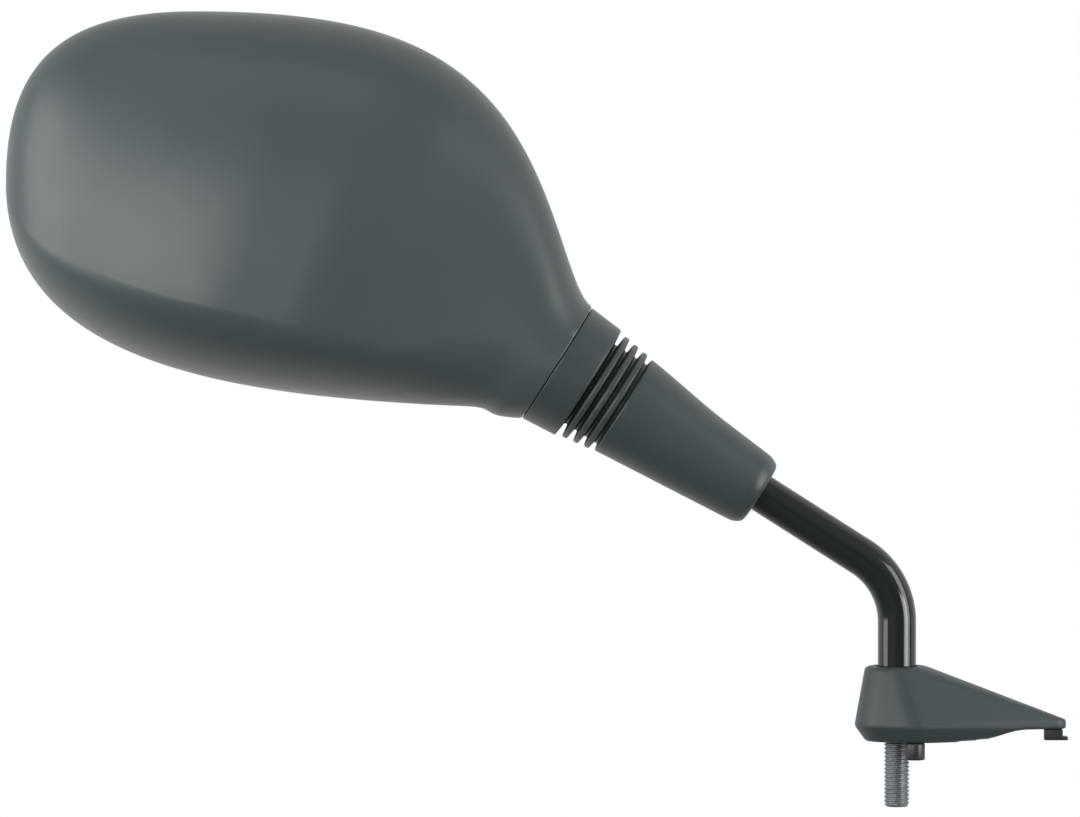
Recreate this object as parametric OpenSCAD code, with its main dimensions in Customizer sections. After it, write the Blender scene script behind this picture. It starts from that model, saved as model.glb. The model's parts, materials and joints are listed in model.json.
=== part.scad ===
// Right-hand scooter mirror: a moulded head on a ball joint, a bellows boot, a bent
// stem with a threaded stud, and a loose cover over the foot of the stem.
// The origin lies on the stud's axis, in the plane of the cover's bottom rim.
// X runs from the stud to the cover's tip, Z runs up, and the glass faces +Y.

/* [Stem] */
// Outer diameter of the bent tube
tube_d = 12; // [11:0.25:13]
// Wall of the tube
tube_wall = 1.5; // [1.25:0.05:1.75]
// Height of the tube's lower end above the washer face
tube_foot = 10.6; // [10.6:0.1:12]
// Height at which the upright and the arm would meet without a bend
bend_height = 50.3; // [48:0.5:60]
// Radius of the bend on the tube's centreline
bend_r = 24; // [20:0.5:26]
// How much the bending draws the tube in, on the radius
bend_draw = 0.03; // [0.02:0.01:0.06]
// Angle of the arm above the horizontal
arm_angle = 32.5; // [28:0.5:40]
// Distance from the meeting point to the centre of the ball
ball_distance = 108; // [104:1:120]

/* [Stud] */
// Diameter of the stud
stud_d = 8; // [7.5:0.05:8.2]
// Length of the stud below the cover
stud_reach = 20.6; // [16:0.2:30]
// Length of the stud pressed into the tube
stud_seat = 16; // [12:0.5:20]
// Chamfer on the stud's end
stud_chamfer = 0.8; // [0.4:0.1:1.2]
// Width of the nut across its flats
nut_af = 13; // [12.5:0.1:13]
// Height of the nut
nut_h = 6.5; // [5:0.1:6.5]
// Diameter of the plain washer
washer_d = 15; // [14:0.1:15.5]
// Thickness of the plain washer
washer_t = 1.6; // [1.2:0.1:1.6]
// Diameter of the spring washer
spring_washer_d = 14.2; // [13.4:0.1:14.6]
// Thickness of the spring washer
spring_washer_t = 2; // [1.6:0.1:2]
// Width of the slit in the spring washer
washer_slit = 1.2; // [0.8:0.1:2]

/* [Ball joint] */
// Diameter of the ball
ball_d = 16; // [15:0.25:16.5]
// Diameter of the shank under the ball
shank_d = 8; // [7:0.1:8.2]
// Distance from the ball's centre to the end of the tube
ball_standoff = 13; // [13:0.25:16]
// Length of the ball stud pressed into the tube
ball_seat = 18; // [12:0.5:22]
// Thickness of the two cups around the ball
cup_wall = 1.95; // [1.8:0.05:2.1]
// Height of the lower cup's upper edge below the ball's centre
lower_cup_top = 1.4; // [1.4:0.05:2]
// Height of the lower cup's lower edge below the ball's centre
lower_cup_foot = 4.7; // [4:0.1:5]
// Height of the upper cup's lower edge above the ball's centre
upper_cup_foot = 1.4; // [1.4:0.05:2]
// Diameter of the hole in the top of the upper cup
upper_cup_hole = 9; // [7:0.5:11]
// Height of the pressure cap's lower edge above the ball's centre
cap_foot = 5; // [4.5:0.1:6]
// Thickness of the pressure cap above the cup
cap_t = 2.2; // [1.8:0.1:3]
// Thickness of each disc spring
disc_t = 0.7; // [0.5:0.05:0.8]
// Cone height of each disc spring
disc_rise = 0.6; // [0.4:0.05:0.7]
// Number of disc springs
disc_count = 3; // [2:1:3]
// Thickness of the clamp plate
plate_t = 2.2; // [1.8:0.1:3]
// How far the clamp screws stand out from the middle of the neck's wall
clamp_screw_out = 0.2; // [0:0.05:0.4]
// Diameter of the clamp screws
clamp_screw_d = 3.5; // [3:0.1:3.6]
// Length of the clamp screws in the neck
clamp_screw_l = 9; // [6:0.5:10]

/* [Neck] */
// Angle of the neck below the head's level line
neck_angle = 32.5; // [28:0.5:38]
// Diameter of the nose inside the bellows
nose_d = 26; // [25.6:0.1:26.2]
// Diameter of the seat under the boot's collar
seat_d = 35; // [34.4:0.1:35.4]
// Distance from the ball's centre to the collar's seat
seat_start = 7.2; // [7:0.1:8]
// Distance from the ball's centre to the seam between collar and head
seam_w = 17.8; // [17:0.1:19]
// Step on the radius from the collar up to the head
seam_step = 0.2; // [0:0.05:0.4]
// Depth of the solid neck beyond the seam
neck_floor = 4.7; // [4.2:0.1:6]
// Diameter of the opening below the ball
socket_mouth_d = 14.5; // [14.2:0.1:15]
// Length of the nose below the ball's centre
nose_reach = 8.2; // [8:0.1:9]
// Height of the bead that holds the collar
bead_h = 0.6; // [0.3:0.05:0.8]
// Width of the bead
bead_w = 1.6; // [1:0.1:2.4]
// Distance from the collar's seat to the bead
bead_start = 2.6; // [2:0.1:4]

/* [Head] */
// Reach of the head from the ball's centre
head_reach = 187; // [175:1:200]
// Height of the outer end above the ball's centre
tip_rise = 65.5; // [62:0.5:70]
// Height of the crown above the ball's centre
crown_rise = 119; // [112:0.5:126]
// Distance of the crown back from the ball's centre
crown_back = 128; // [122:1:134]
// Height of the shoulder above the ball's centre
shoulder_rise = 89.5; // [86:0.5:93]
// Distance of the shoulder back from the ball's centre
shoulder_back = 34.3; // [32:0.1:37]
// Slope of the shoulder
shoulder_slope = 49.5; // [46:0.5:54]
// Distance of the belly back from the ball's centre
belly_back = 43.6; // [40:0.2:48]
// Drop of the belly below the ball's centre
belly_drop = 4.1; // [2:0.1:7]
// Slope of the belly
belly_slope = 1.6; // [0:0.1:4]
// Pull of the curve on both sides of the shoulder
shoulder_pull = 30; // [24:0.5:34]
// Pull of the curve from the crown towards the neck
crown_pull_in = 45; // [38:1:50]
// Pull of the curve from the crown towards the outer end
crown_pull_out = 40; // [34:1:44]
// Pull of the curve upwards from the outer end
tip_pull_up = 39; // [32:1:44]
// Pull of the curve downwards from the outer end
tip_pull_down = 50; // [42:0.5:54]
// Pull of the curve from the belly towards the outer end
belly_pull_out = 90; // [80:1:98]
// Pull of the curve from the belly towards the neck
belly_pull_in = 11; // [8:0.5:14]
// Pull of the upper curve away from the neck
neck_pull_up = 9.5; // [7:0.5:12]
// Pull of the lower curve away from the neck
neck_pull_down = 14; // [10:0.5:16]
// Flare of the upper curve at the neck
flare_up = 3.5; // [2:0.5:8]
// Flare of the lower curve at the neck
flare_down = 30; // [26:0.5:34]
// Distance of the rim's plane in front of the stem's plane
rim_y = 20; // [18:0.5:24]
// Distance of the widest line in front of the stem's plane
waist_y = 11; // [9:0.5:13]
// Distance of the deepest point of the back behind the stem's plane
back_y = 30; // [26:0.5:34]
// Wall of the head
shell_t = 2.2; // [1.8:0.1:2.6]

/* [Glass] */
// Width of the rim around the glass
rim_w = 6; // [5.5:0.1:8]
// Distance from the seam to the part of the head that the glass fills
glass_from_seam = 11; // [9:0.5:16]
// Radius of the glass's corner towards the neck
glass_corner_r = 24; // [22:0.5:28]
// Gap between the glass and the rim
glass_gap = 0.5; // [0.3:0.05:0.8]
// Thickness of the glass
glass_t = 2; // [1.6:0.1:2.4]
// Radius of the glass's convex face
glass_curve_r = 1200; // [1000:50:1500]
// Height of the middle of the glass above the rim's plane
glass_crown = 0.4; // [0:0.1:0.8]
// Thickness of the foam pad behind the glass
pad_t = 1; // [0.8:0.1:1.5]
// Thickness of the plate that carries the glass
carrier_t = 2.6; // [2.4:0.1:3]
// Distance of the plate's edge inside the glass's edge
carrier_inset = 1.2; // [0.8:0.1:2]
// Diameter of the posts that hold the plate
post_d = 8; // [7:0.25:9]
// Diameter of the plate's screws
carrier_screw_d = 3; // [2.6:0.1:3.2]
// Length of the plate's screws
carrier_screw_l = 12; // [9:0.5:14]
// How deep the heads of the plate's screws are sunk
screw_sunk = 0.15; // [0.1:0.05:0.3]

/* [Boot] */
// Length of the sleeve from the ball's centre to its end on the arm
sleeve_reach = 57.6; // [54:0.2:62]
// Diameter of the sleeve's end
tail_d = 24.6; // [23:0.2:26]
// Diameter of the sleeve beside the bellows
sleeve_d = 33.4; // [32.8:0.2:34]
// Rounding of the sleeve's end
tail_round = 3; // [2:0.1:3.6]
// Length of the rubber that grips the tube
grip_l = 9.5; // [7:0.5:12]
// Distance from the ball's centre back to the first groove's edge
bellows_start = 6.7; // [6.5:0.05:7]
// Width of each groove
groove_w = 1.75; // [1.5:0.05:1.9]
// Width of each rib
rib_w = 1.9; // [1.6:0.05:2]
// Diameter of the first rib
rib_d = 34.6; // [33.8:0.1:35]
// Growth in diameter from rib to rib
rib_growth = 1.1; // [0.6:0.1:1.4]
// Diameter at the bottom of the grooves
valley_d = 29; // [28.8:0.1:29.4]
// Number of grooves
groove_count = 4; // [3:1:4]
// Wall of the collar beside the bellows
collar_t = 1.8; // [1.5:0.1:2.2]
// Wall of the collar at the seam
collar_end_t = 2.8; // [2.4:0.1:3.3]
// Gap of the seam between collar and head
seam_gap = 0.25; // [0.2:0.05:0.4]

/* [Cover] */
// Height of the cover
cover_h = 23.4; // [23:0.1:25]
// Diameter of the flat around the stem
cover_top_d = 20.4; // [19.6:0.2:22]
// Diameter of the round end at its widest
cover_d = 26.2; // [26:0.1:28]
// Height of the widest line
cover_wide_h = 5.6; // [4.5:0.1:6.5]
// Diameter of the round end at its bottom rim
cover_foot_d = 19.6; // [19:0.2:21]
// Width of the cover at its shoulder
cover_w = 29.4; // [29:0.1:31]
// Distance of the shoulder from the stem's axis
shoulder_x = 5; // [4.6:0.1:6]
// Width of the bottom rim under the shoulder
cover_foot_w = 24.4; // [24:0.1:25]
// Width of the bottom rim where it narrows
narrow_w = 15.4; // [14:0.2:17]
// Distance from the stem's axis to where the rim narrows
narrow_x = 17; // [15:0.5:19]
// Reach of the cover's tip from the stem's axis
cover_reach = 52.8; // [50:0.5:58]
// Width of the tip
tip_w = 7; // [6.4:0.2:8]
// Height of the tip's upper face
tip_top = 6.6; // [6.2:0.1:7.5]
// Height of the tip's lower face
tip_under = 3.75; // [3.4:0.05:4]
// Distance at which the bottom rim starts to rise
rise_x = 23; // [21:0.5:26]
// Distance at which the bottom rim has risen
rise_end_x = 40; // [37:0.5:42]
// Wall of the cover
cover_t = 2; // [1.6:0.1:2.2]
// Rounding of the cover's top edges
cover_round = 1.6; // [1:0.1:2.2]

/* [Foot fittings] */
// Diameter of the hole in the cover's roof
cover_hole_d = 13.4; // [13.2:0.1:14]
// Wall of the bush around the stem
bush_t = 1.5; // [1.3:0.1:1.7]
// Length of the bush
bush_l = 6; // [5:0.25:7]
// Wall of the collar that holds the bush
bush_collar_t = 1.6; // [1.4:0.1:2]
// Diameter of the locating peg
peg_d = 6.3; // [5.8:0.1:6.4]
// Length of the locating peg below the cover
peg_l = 5.3; // [4:0.1:7]
// Diameter of the peg's stem in its boss
peg_stem_d = 3.2; // [2.8:0.1:3.4]
// Place of the peg along the cover
peg_x = 5.2; // [4.8:0.1:5.8]
// Place of the peg to the side of the stem's axis
peg_y = 9.8; // [9.8:0.05:10]
// Height of the peg's boss
boss_h = 7.5; // [6:0.25:9]
// Diameter of the peg's boss
boss_d = 5; // [4.8:0.1:5.4]
// Width of the hook's body
hook_body = 5.8; // [5:0.1:6]
// Breadth of the hook
hook_w = 4.4; // [4:0.1:5]
// Length of the hook's foot
hook_foot = 1.6; // [1:0.1:2.2]
// Thickness of the hook's foot
hook_foot_t = 1.2; // [1:0.1:1.5]
// Place of the hook's body along the cover
hook_x = 48.8; // [48.6:0.1:49]
// Height of the hook's lower face above the cover's bottom plane
hook_low = 0.2; // [0:0.1:0.6]

/* [Clearances] */
// Radial clearance of a part that turns or slides
run_gap = 0.05; // [0.02:0.01:0.08]
// Radial clearance of a part that is pressed or bonded in
press_gap = 0.02; // [0.01:0.01:0.04]
// Clearance between parts that only lie against each other
rest_gap = 0.05; // [0.02:0.01:0.1]
// Clearance between the nose and the bellows
boot_gap = 0.3; // [0.2:0.05:0.4]
// Radial clearance of a screw in the plate that it holds
screw_gap = 0.2; // [0.15:0.05:0.3]

/* [Hidden] */

$fn = 72;
cut = 1;
tube_r = tube_d / 2;
bore_r = tube_r - tube_wall;
turn = 90 - arm_angle;
bend_start = bend_height - bend_r * tan(turn / 2);
bend_tangent = bend_r * tan(turn / 2);
stud_r = stud_d / 2;
ball_r = ball_d / 2;
cup_in_r = ball_r + run_gap;
cup_out_r = cup_in_r + cup_wall;
socket_r = cup_out_r + run_gap;
bore_gap = 0.1;
neck_bore_r = cup_out_r + bore_gap;
seat_r = seat_d / 2;
collar_r = seat_r + collar_t;
collar_end_r = seat_r + collar_end_t;
seam_r = collar_end_r + seam_step;
clamp_screw_r = (neck_bore_r + seat_r) / 2 + clamp_screw_out;
neck_top = seam_w + neck_floor;
cap_top = cup_out_r + cap_t;
spring_step = disc_t + rest_gap;
spring_top = cap_top + rest_gap + disc_count * spring_step + disc_rise;
clamp_boss_r = clamp_screw_r + clamp_screw_d / 2 + 1.2;

// Frames

// Stands children on the arm, a distance away from the meeting point.
module in_arm(distance) {
    translate([0, 0, bend_height])
        rotate([0, -turn, 0])
            translate([0, 0, distance])
                children();
}

// Stands children in the head's own level frame around the ball's centre.
module in_head() {
    in_arm(ball_distance)
        rotate([0, 90 - neck_angle, 0])
            children();
}

// Stands children along the neck, from the ball's centre towards the head.
module in_neck() {
    in_arm(ball_distance)
        children();
}

// Extrudes an outline of the XZ plane from one Y to a higher one.
module slab(y_low, y_high) {
    translate([0, y_high, 0])
        rotate([90, 0, 0])
            linear_extrude(y_high - y_low)
                children();
}

// Curves

function bezier(p, t) =
    pow(1 - t, 3) * p[0] + 3 * pow(1 - t, 2) * t * p[1]
    + 3 * (1 - t) * t * t * p[2] + pow(t, 3) * p[3];
function bezier_run(p, count) = [for (i = [0 : count]) bezier(p, i / count)];
function tail(list) = [for (i = [1 : len(list) - 1]) list[i]];
function turned(v, angle) =
    [v[0] * cos(angle) - v[1] * sin(angle), v[0] * sin(angle) + v[1] * cos(angle)];
function arc(centre, r, from, to, count) =
    [for (i = [0 : count])
        let (a = from + (to - from) * i / count)
            [centre[0] + r * cos(a), centre[1] + r * sin(a)]];
function ease(from, to, x) =
    let (t = min(1, max(0, (x - from) / (to - from)))) t * t * (3 - 2 * t);
function mix(a, b, t) = a + (b - a) * t;

// Running length along a list of points, one value for each point.
function run_lengths(pts) =
    [for (i = 0, d = 0; i < len(pts);
          i = i + 1, d = d + (i < len(pts) ? norm(pts[i] - pts[i - 1]) : 0)) d];
function at_fraction(pts, runs, f) =
    let (d = f * runs[len(runs) - 1])
        [for (axis = [0, 1]) lookup(d, [for (i = [0 : len(pts) - 1]) [runs[i], pts[i][axis]]])];

// Outline of the head, seen from behind, in its level frame

edge_steps = 20;
neck_way = [-cos(neck_angle), sin(neck_angle)];
neck_side = [sin(neck_angle), cos(neck_angle)];
belly_way = [cos(belly_slope), -sin(belly_slope)];
shoulder_way = [cos(shoulder_slope), -sin(shoulder_slope)];

function upper_edge(inset) =
    let (
        start = neck_way * seam_w + neck_side * (seam_r - inset),
        shoulder = [-shoulder_back, shoulder_rise]
            - inset * [sin(shoulder_slope), cos(shoulder_slope)],
        crown = [-crown_back, crown_rise - inset],
        tip = [-(head_reach - inset), tip_rise]
    )
        concat(
            bezier_run([
                start,
                start + neck_pull_up * turned(neck_way, -flare_up),
                shoulder + shoulder_pull * shoulder_way,
                shoulder
            ], edge_steps),
            tail(bezier_run([
                shoulder,
                shoulder - shoulder_pull * shoulder_way,
                crown + [crown_pull_in, 0],
                crown
            ], edge_steps)),
            tail(bezier_run([
                crown,
                crown - [crown_pull_out, 0],
                tip + [0, tip_pull_up],
                tip
            ], edge_steps))
        );

function lower_edge(inset) =
    let (
        start = neck_way * seam_w - neck_side * (seam_r - inset),
        belly = [-belly_back, -belly_drop + inset],
        tip = [-(head_reach - inset), tip_rise]
    )
        concat(
            bezier_run([
                start,
                start + neck_pull_down * turned(neck_way, flare_down),
                belly + belly_pull_in * belly_way,
                belly
            ], edge_steps),
            tail(bezier_run([
                belly,
                belly - belly_pull_out * belly_way,
                tip - [0, tip_pull_down],
                tip
            ], edge_steps))
        );

module head_outline() {
    low = lower_edge(0);
    polygon(concat(upper_edge(0), [for (i = [len(low) - 2 : -1 : 0]) low[i]]));
}

// The head narrowed by its rim, with the way into the neck rounded off.
module glass_outline(inset) {
    neck_end = seam_w + glass_from_seam;
    offset(r = glass_corner_r, $fn = 64)
        offset(r = -(glass_corner_r + rim_w + inset), $fn = 64)
            difference() {
                head_outline();
                rotate(180 - neck_angle)
                    translate([0, -2 * seam_r])
                        square([neck_end, 4 * seam_r]);
            }
}

// Body of the head, lofted through chords of the outline

ring_steps = 40;
section_steps = 30;
back_blend = 0.42;
front_blend = 0.3;
tip_cap = 0.5;
tip_edge = 0.07;

// Each section bulges back as a full curve and forward as a near-square one.
function section_point(up, low, s, angle, inset) =
    let (
        mid = (up + low) / 2,
        half = (up - low) / 2,
        grown = ease(0, front_blend, s),
        waist = waist_y * grown,
        back = mix(seam_r, back_y + waist_y, ease(0, back_blend, s))
            * sin(90 * min(1, (1 - s) / tip_cap)) - inset,
        front = mix(seam_r, rim_y - waist_y + 1, grown)
            * sin(90 * min(1, (1 - s) / tip_edge)) - inset,
        c = cos(angle),
        v = sin(angle),
        back_power = mix(2, c < 0 ? 2.9 : 2.25, ease(0, back_blend, s)),
        power = v < 0 ? back_power : mix(2, 7, ease(0, front_blend, s)),
        across = sign(c) * pow(abs(c), 2 / power),
        bulge = pow(abs(v), 2 / power),
        place = mid + half * across,
        y = v < 0 ? waist - max(0.1, back) * bulge : waist + max(0.1, front) * bulge
    )
        [place[0], min(y, rim_y - inset), place[1]];

function section_ring(s, inset, up_pts, up_runs, low_pts, low_runs) =
    let (up = at_fraction(up_pts, up_runs, s), low = at_fraction(low_pts, low_runs, s))
        [for (i = [0 : ring_steps - 1])
            section_point(up, low, s, 360 * i / ring_steps, inset)];

// Places of the sections, closer together towards the outer end.
function section_at(x) = 0.5 * x + 0.5 * sin(90 * x);

// Closes a stack of rings with a flat start and a pointed end.
module loft(rings, apex) {
    n = len(rings[0]);
    last = len(rings) - 1;
    pts = concat([for (ring = rings) each ring], [apex]);
    sides = [for (k = [0 : last - 1], i = [0 : n - 1])
        let (
            j = (i + 1) % n,
            a = k * n + i,
            b = k * n + j,
            c = (k + 1) * n + i,
            d = (k + 1) * n + j
        )
            each [[a, c, d], [a, d, b]]];
    cap = [for (i = [0 : n - 1]) [last * n + i, len(pts) - 1, last * n + (i + 1) % n]];
    polyhedron(pts, concat([[for (i = [0 : n - 1]) i]], sides, cap));
}

module head_body(inset, start) {
    up_pts = upper_edge(inset);
    low_pts = lower_edge(inset);
    up_runs = run_lengths(up_pts);
    low_runs = run_lengths(low_pts);
    rings = [for (k = [0 : section_steps - 1])
        section_ring(mix(start, 1, section_at(k / section_steps)),
            inset, up_pts, up_runs, low_pts, low_runs)];
    tip = up_pts[len(up_pts) - 1];
    loft(rings, [tip[0], waist_y, tip[1]]);
}

// The hollow starts below the neck's floor, so that the floor is flat.
cavity_runs = run_lengths(upper_edge(shell_t));
cavity_start = 0.6 * neck_floor / cavity_runs[len(cavity_runs) - 1];

// Posts behind the glass carrier, each at a section and a side of it, with their
// feet a little in from the middle of the wall
posts = [[0.3, 80], [0.56, 72], [0.56, 112]];
post_lift = 0.5;

function post_place(post) =
    let (
        up_pts = upper_edge(shell_t / 2),
        low_pts = lower_edge(shell_t / 2),
        up = at_fraction(up_pts, run_lengths(up_pts), post[0]),
        low = at_fraction(low_pts, run_lengths(low_pts), post[0])
    )
        section_point(up, low, post[0], -post[1], shell_t / 2) + [0, post_lift, 0];

// Stack of glass, pad and carrier, from the front

dome_place = [-(head_reach + belly_back) / 2, (crown_rise - belly_drop) / 2];
glass_front = rim_y + glass_crown;
pad_front = glass_front - glass_t - rest_gap;
carrier_front = pad_front - pad_t - rest_gap;
dome_r = 130;
dome_steps = 9;

function dome_drop(r) = glass_curve_r - sqrt(glass_curve_r * glass_curve_r - r * r);

// A curved sheet around the middle of the glass, with its front at the given Y.
module dome_sheet(front, thick) {
    steps = [for (i = [0 : dome_steps]) dome_r * i / dome_steps];
    translate([dome_place[0], front, dome_place[1]])
        rotate([-90, 0, 0])
            rotate_extrude()
                polygon(concat(
                    [for (r = steps) [r, -dome_drop(r)]],
                    [for (i = [dome_steps : -1 : 0]) [steps[i], -dome_drop(steps[i]) - thick]]
                ));
}

function carrier_y(place) =
    carrier_front - dome_drop(norm([place[0], place[2]] - dome_place));

// Head nodes

module neck_profile() {
    bead_w0 = seat_start + bead_start;
    rotate_extrude()
        polygon([
            [0, -nose_reach],
            [nose_d / 2 - 1, -nose_reach],
            [nose_d / 2, -nose_reach + 1],
            [nose_d / 2, seat_start - 0.4],
            [seat_r, seat_start],
            [seat_r, bead_w0],
            [seat_r + bead_h, bead_w0 + bead_w / 4],
            [seat_r + bead_h, bead_w0 + bead_w * 3 / 4],
            [seat_r, bead_w0 + bead_w],
            [seat_r, seam_w + cut],
            [clamp_boss_r, seam_w + cut],
            [clamp_boss_r, neck_top],
            [0, neck_top]
        ]);
}

module clamp_screw_places() {
    for (side = [-1, 1])
        translate([side * clamp_screw_r, 0, 0])
            children();
}

module ball_socket() {
    sphere(r = socket_r, $fn = 96);
    cylinder(r = neck_bore_r, h = neck_top + cut, $fn = 96);
    translate([0, 0, -nose_reach - cut])
        cylinder(d = socket_mouth_d, h = nose_reach);
    translate([0, 0, -nose_reach - 0.01])
        cylinder(d1 = socket_mouth_d + 3, d2 = socket_mouth_d, h = 1.5);
    clamp_screw_places()
        translate([0, 0, neck_top - clamp_screw_l - 0.5])
            cylinder(r = clamp_screw_d / 2 + press_gap, h = clamp_screw_l + 0.5 + cut);
}

module housing_shell() {
    color([0.27, 0.30, 0.31])
        difference() {
            union() {
                in_head()
                    difference() {
                        head_body(0, 0);
                        head_body(shell_t, cavity_start);
                        slab(rim_y - 3 * shell_t, rim_y + cut)
                            glass_outline(-glass_gap);
                    }
                in_neck()
                    neck_profile();
                in_head()
                    for (post = posts)
                        let (p = post_place(post))
                            translate([p[0], p[1], p[2]])
                                rotate([-90, 0, 0])
                                    cylinder(d = post_d, h = carrier_y(p) - carrier_t - rest_gap - p[1]);
            }
            in_neck()
                ball_socket();
            in_head()
                for (post = posts)
                    let (p = post_place(post), top = carrier_y(p) - carrier_t)
                        translate([p[0], top - carrier_screw_l, p[2]])
                            rotate([-90, 0, 0])
                                cylinder(r = carrier_screw_d / 2 + press_gap, h = carrier_screw_l + cut);
        }
}

module mirror_glass() {
    color([0.75, 0.80, 0.84])
        in_head()
            intersection() {
                dome_sheet(glass_front, glass_t);
                slab(0, glass_front + cut)
                    glass_outline(0);
            }
}

module glass_pad() {
    color([0.12, 0.12, 0.12])
        in_head()
            intersection() {
                dome_sheet(pad_front, pad_t);
                slab(0, glass_front + cut)
                    glass_outline(carrier_inset);
            }
}

module countersunk(d, length, head_d) {
    head_h = (head_d - d) / 2;
    rotate([90, 0, 0]) {
        cylinder(d = d, h = length);
        cylinder(d1 = head_d, d2 = d, h = head_h);
    }
}

carrier_head_d = 2 * carrier_screw_d;

module carrier_screw_places() {
    for (post = posts)
        let (p = post_place(post))
            translate([p[0], carrier_y(p) - screw_sunk, p[2]])
                children();
}

module glass_carrier() {
    color([0.10, 0.10, 0.11])
        in_head()
            difference() {
                intersection() {
                    dome_sheet(carrier_front, carrier_t);
                    slab(0, glass_front + cut)
                        glass_outline(carrier_inset);
                }
                carrier_screw_places() {
                    countersunk(
                        carrier_screw_d + 2 * screw_gap, carrier_t * 2, carrier_head_d + screw_gap
                    );
                    rotate([-90, 0, 0])
                        cylinder(d = carrier_head_d + screw_gap, h = cut);
                }
            }
}

module carrier_screws() {
    color([0.70, 0.71, 0.73])
        in_head()
            carrier_screw_places()
                countersunk(carrier_screw_d, carrier_screw_l, carrier_head_d);
}

// Ball joint nodes, along the neck

module clamp_plate() {
    hub_low = spring_top + rest_gap;
    color([0.62, 0.63, 0.65])
        in_neck()
            difference() {
                union() {
                    translate([0, 0, neck_top])
                        linear_extrude(plate_t)
                            hull() {
                                circle(r = neck_bore_r + 1.2, $fn = 64);
                                clamp_screw_places()
                                    circle(r = clamp_screw_d / 2 + 1, $fn = 32);
                            }
                    translate([0, 0, hub_low])
                        cylinder(r = neck_bore_r - bore_gap, h = neck_top - hub_low + plate_t / 2);
                }
                translate([0, 0, hub_low - cut])
                    cylinder(d = upper_cup_hole, h = neck_top + plate_t);
                clamp_screw_places()
                    cylinder(r = clamp_screw_d / 2 + screw_gap, h = neck_top + plate_t + cut);
            }
}

module clamp_screws() {
    head_h = 2.2;
    head_d = 2 * clamp_screw_d - 0.6;
    slot = 0.8;
    color([0.70, 0.71, 0.73])
        in_neck()
            clamp_screw_places()
                translate([0, 0, neck_top + plate_t])
                    difference() {
                        union() {
                            translate([0, 0, -plate_t - clamp_screw_l])
                                cylinder(d = clamp_screw_d, h = plate_t + clamp_screw_l + cut);
                            cylinder(d1 = head_d, d2 = head_d - 1.6, h = head_h);
                        }
                        for (a = [0, 90])
                            rotate([0, 0, a])
                                translate([-slot * 2, -slot / 2, head_h - 1.2])
                                    cube([slot * 4, slot, 2]);
                    }
}

module disc_springs() {
    inner = upper_cup_hole / 2 + 0.6;
    outer = neck_bore_r - 0.3;
    color([0.45, 0.47, 0.50])
        in_neck()
            for (i = [0 : disc_count - 1])
                translate([0, 0, cap_top + rest_gap + i * spring_step])
                    rotate_extrude()
                        polygon([
                            [inner, disc_rise],
                            [outer, 0],
                            [outer, disc_t],
                            [inner, disc_rise + disc_t]
                        ]);
}

module pressure_cap() {
    color([0.85, 0.85, 0.82])
        in_neck()
            difference() {
                translate([0, 0, cap_foot])
                    cylinder(r = neck_bore_r - bore_gap, h = cap_top - cap_foot);
                sphere(r = socket_r, $fn = 96);
                cylinder(d = upper_cup_hole - 3, h = cap_top + cut);
            }
}

module upper_ball_cup() {
    color([0.88, 0.88, 0.86])
        in_neck()
            difference() {
                sphere(r = cup_out_r, $fn = 96);
                sphere(r = cup_in_r, $fn = 96);
                translate([0, 0, upper_cup_foot - 3 * cup_out_r])
                    cylinder(r = 2 * cup_out_r, h = 3 * cup_out_r);
                cylinder(d = upper_cup_hole, h = cup_out_r + cut);
            }
}

module lower_ball_cup() {
    color([0.88, 0.88, 0.86])
        in_neck()
            difference() {
                sphere(r = cup_out_r, $fn = 96);
                sphere(r = cup_in_r, $fn = 96);
                translate([0, 0, -lower_cup_top])
                    cylinder(r = 2 * cup_out_r, h = 2 * cup_out_r);
                translate([0, 0, -lower_cup_foot - 3 * cup_out_r])
                    cylinder(r = 2 * cup_out_r, h = 3 * cup_out_r);
            }
}

module ball_stud() {
    color([0.72, 0.73, 0.75])
        in_neck() {
            difference() {
                sphere(r = ball_r, $fn = 96);
                translate([0, 0, ball_r - 1])
                    cylinder(r = ball_r, h = ball_r);
            }
            translate([0, 0, -ball_standoff - cut])
                cylinder(d = shank_d, h = ball_standoff);
            translate([0, 0, -ball_standoff - ball_seat])
                cylinder(r = bore_r - press_gap, h = ball_seat);
        }
}

// Boot, one revolved rubber moulding

groove_step = groove_w + rib_w;
bellows_end = -bellows_start + groove_count * groove_step - rib_w;
function rib_r(i) = rib_d / 2 + i * rib_growth / 2;

function groove(i) =
    let (
        w = -bellows_start + i * groove_step,
        before = i == 0 ? sleeve_d / 2 : rib_r(i - 1),
        after = i == groove_count - 1 ? collar_r - 0.5 : rib_r(i),
        round_off = 0.3
    )
        [
            [before - round_off, w],
            [valley_d / 2, w + groove_w * 0.3],
            [valley_d / 2, w + groove_w * 0.7],
            [after - round_off, w + groove_w],
            [after, w + groove_w + round_off]
        ];

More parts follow.
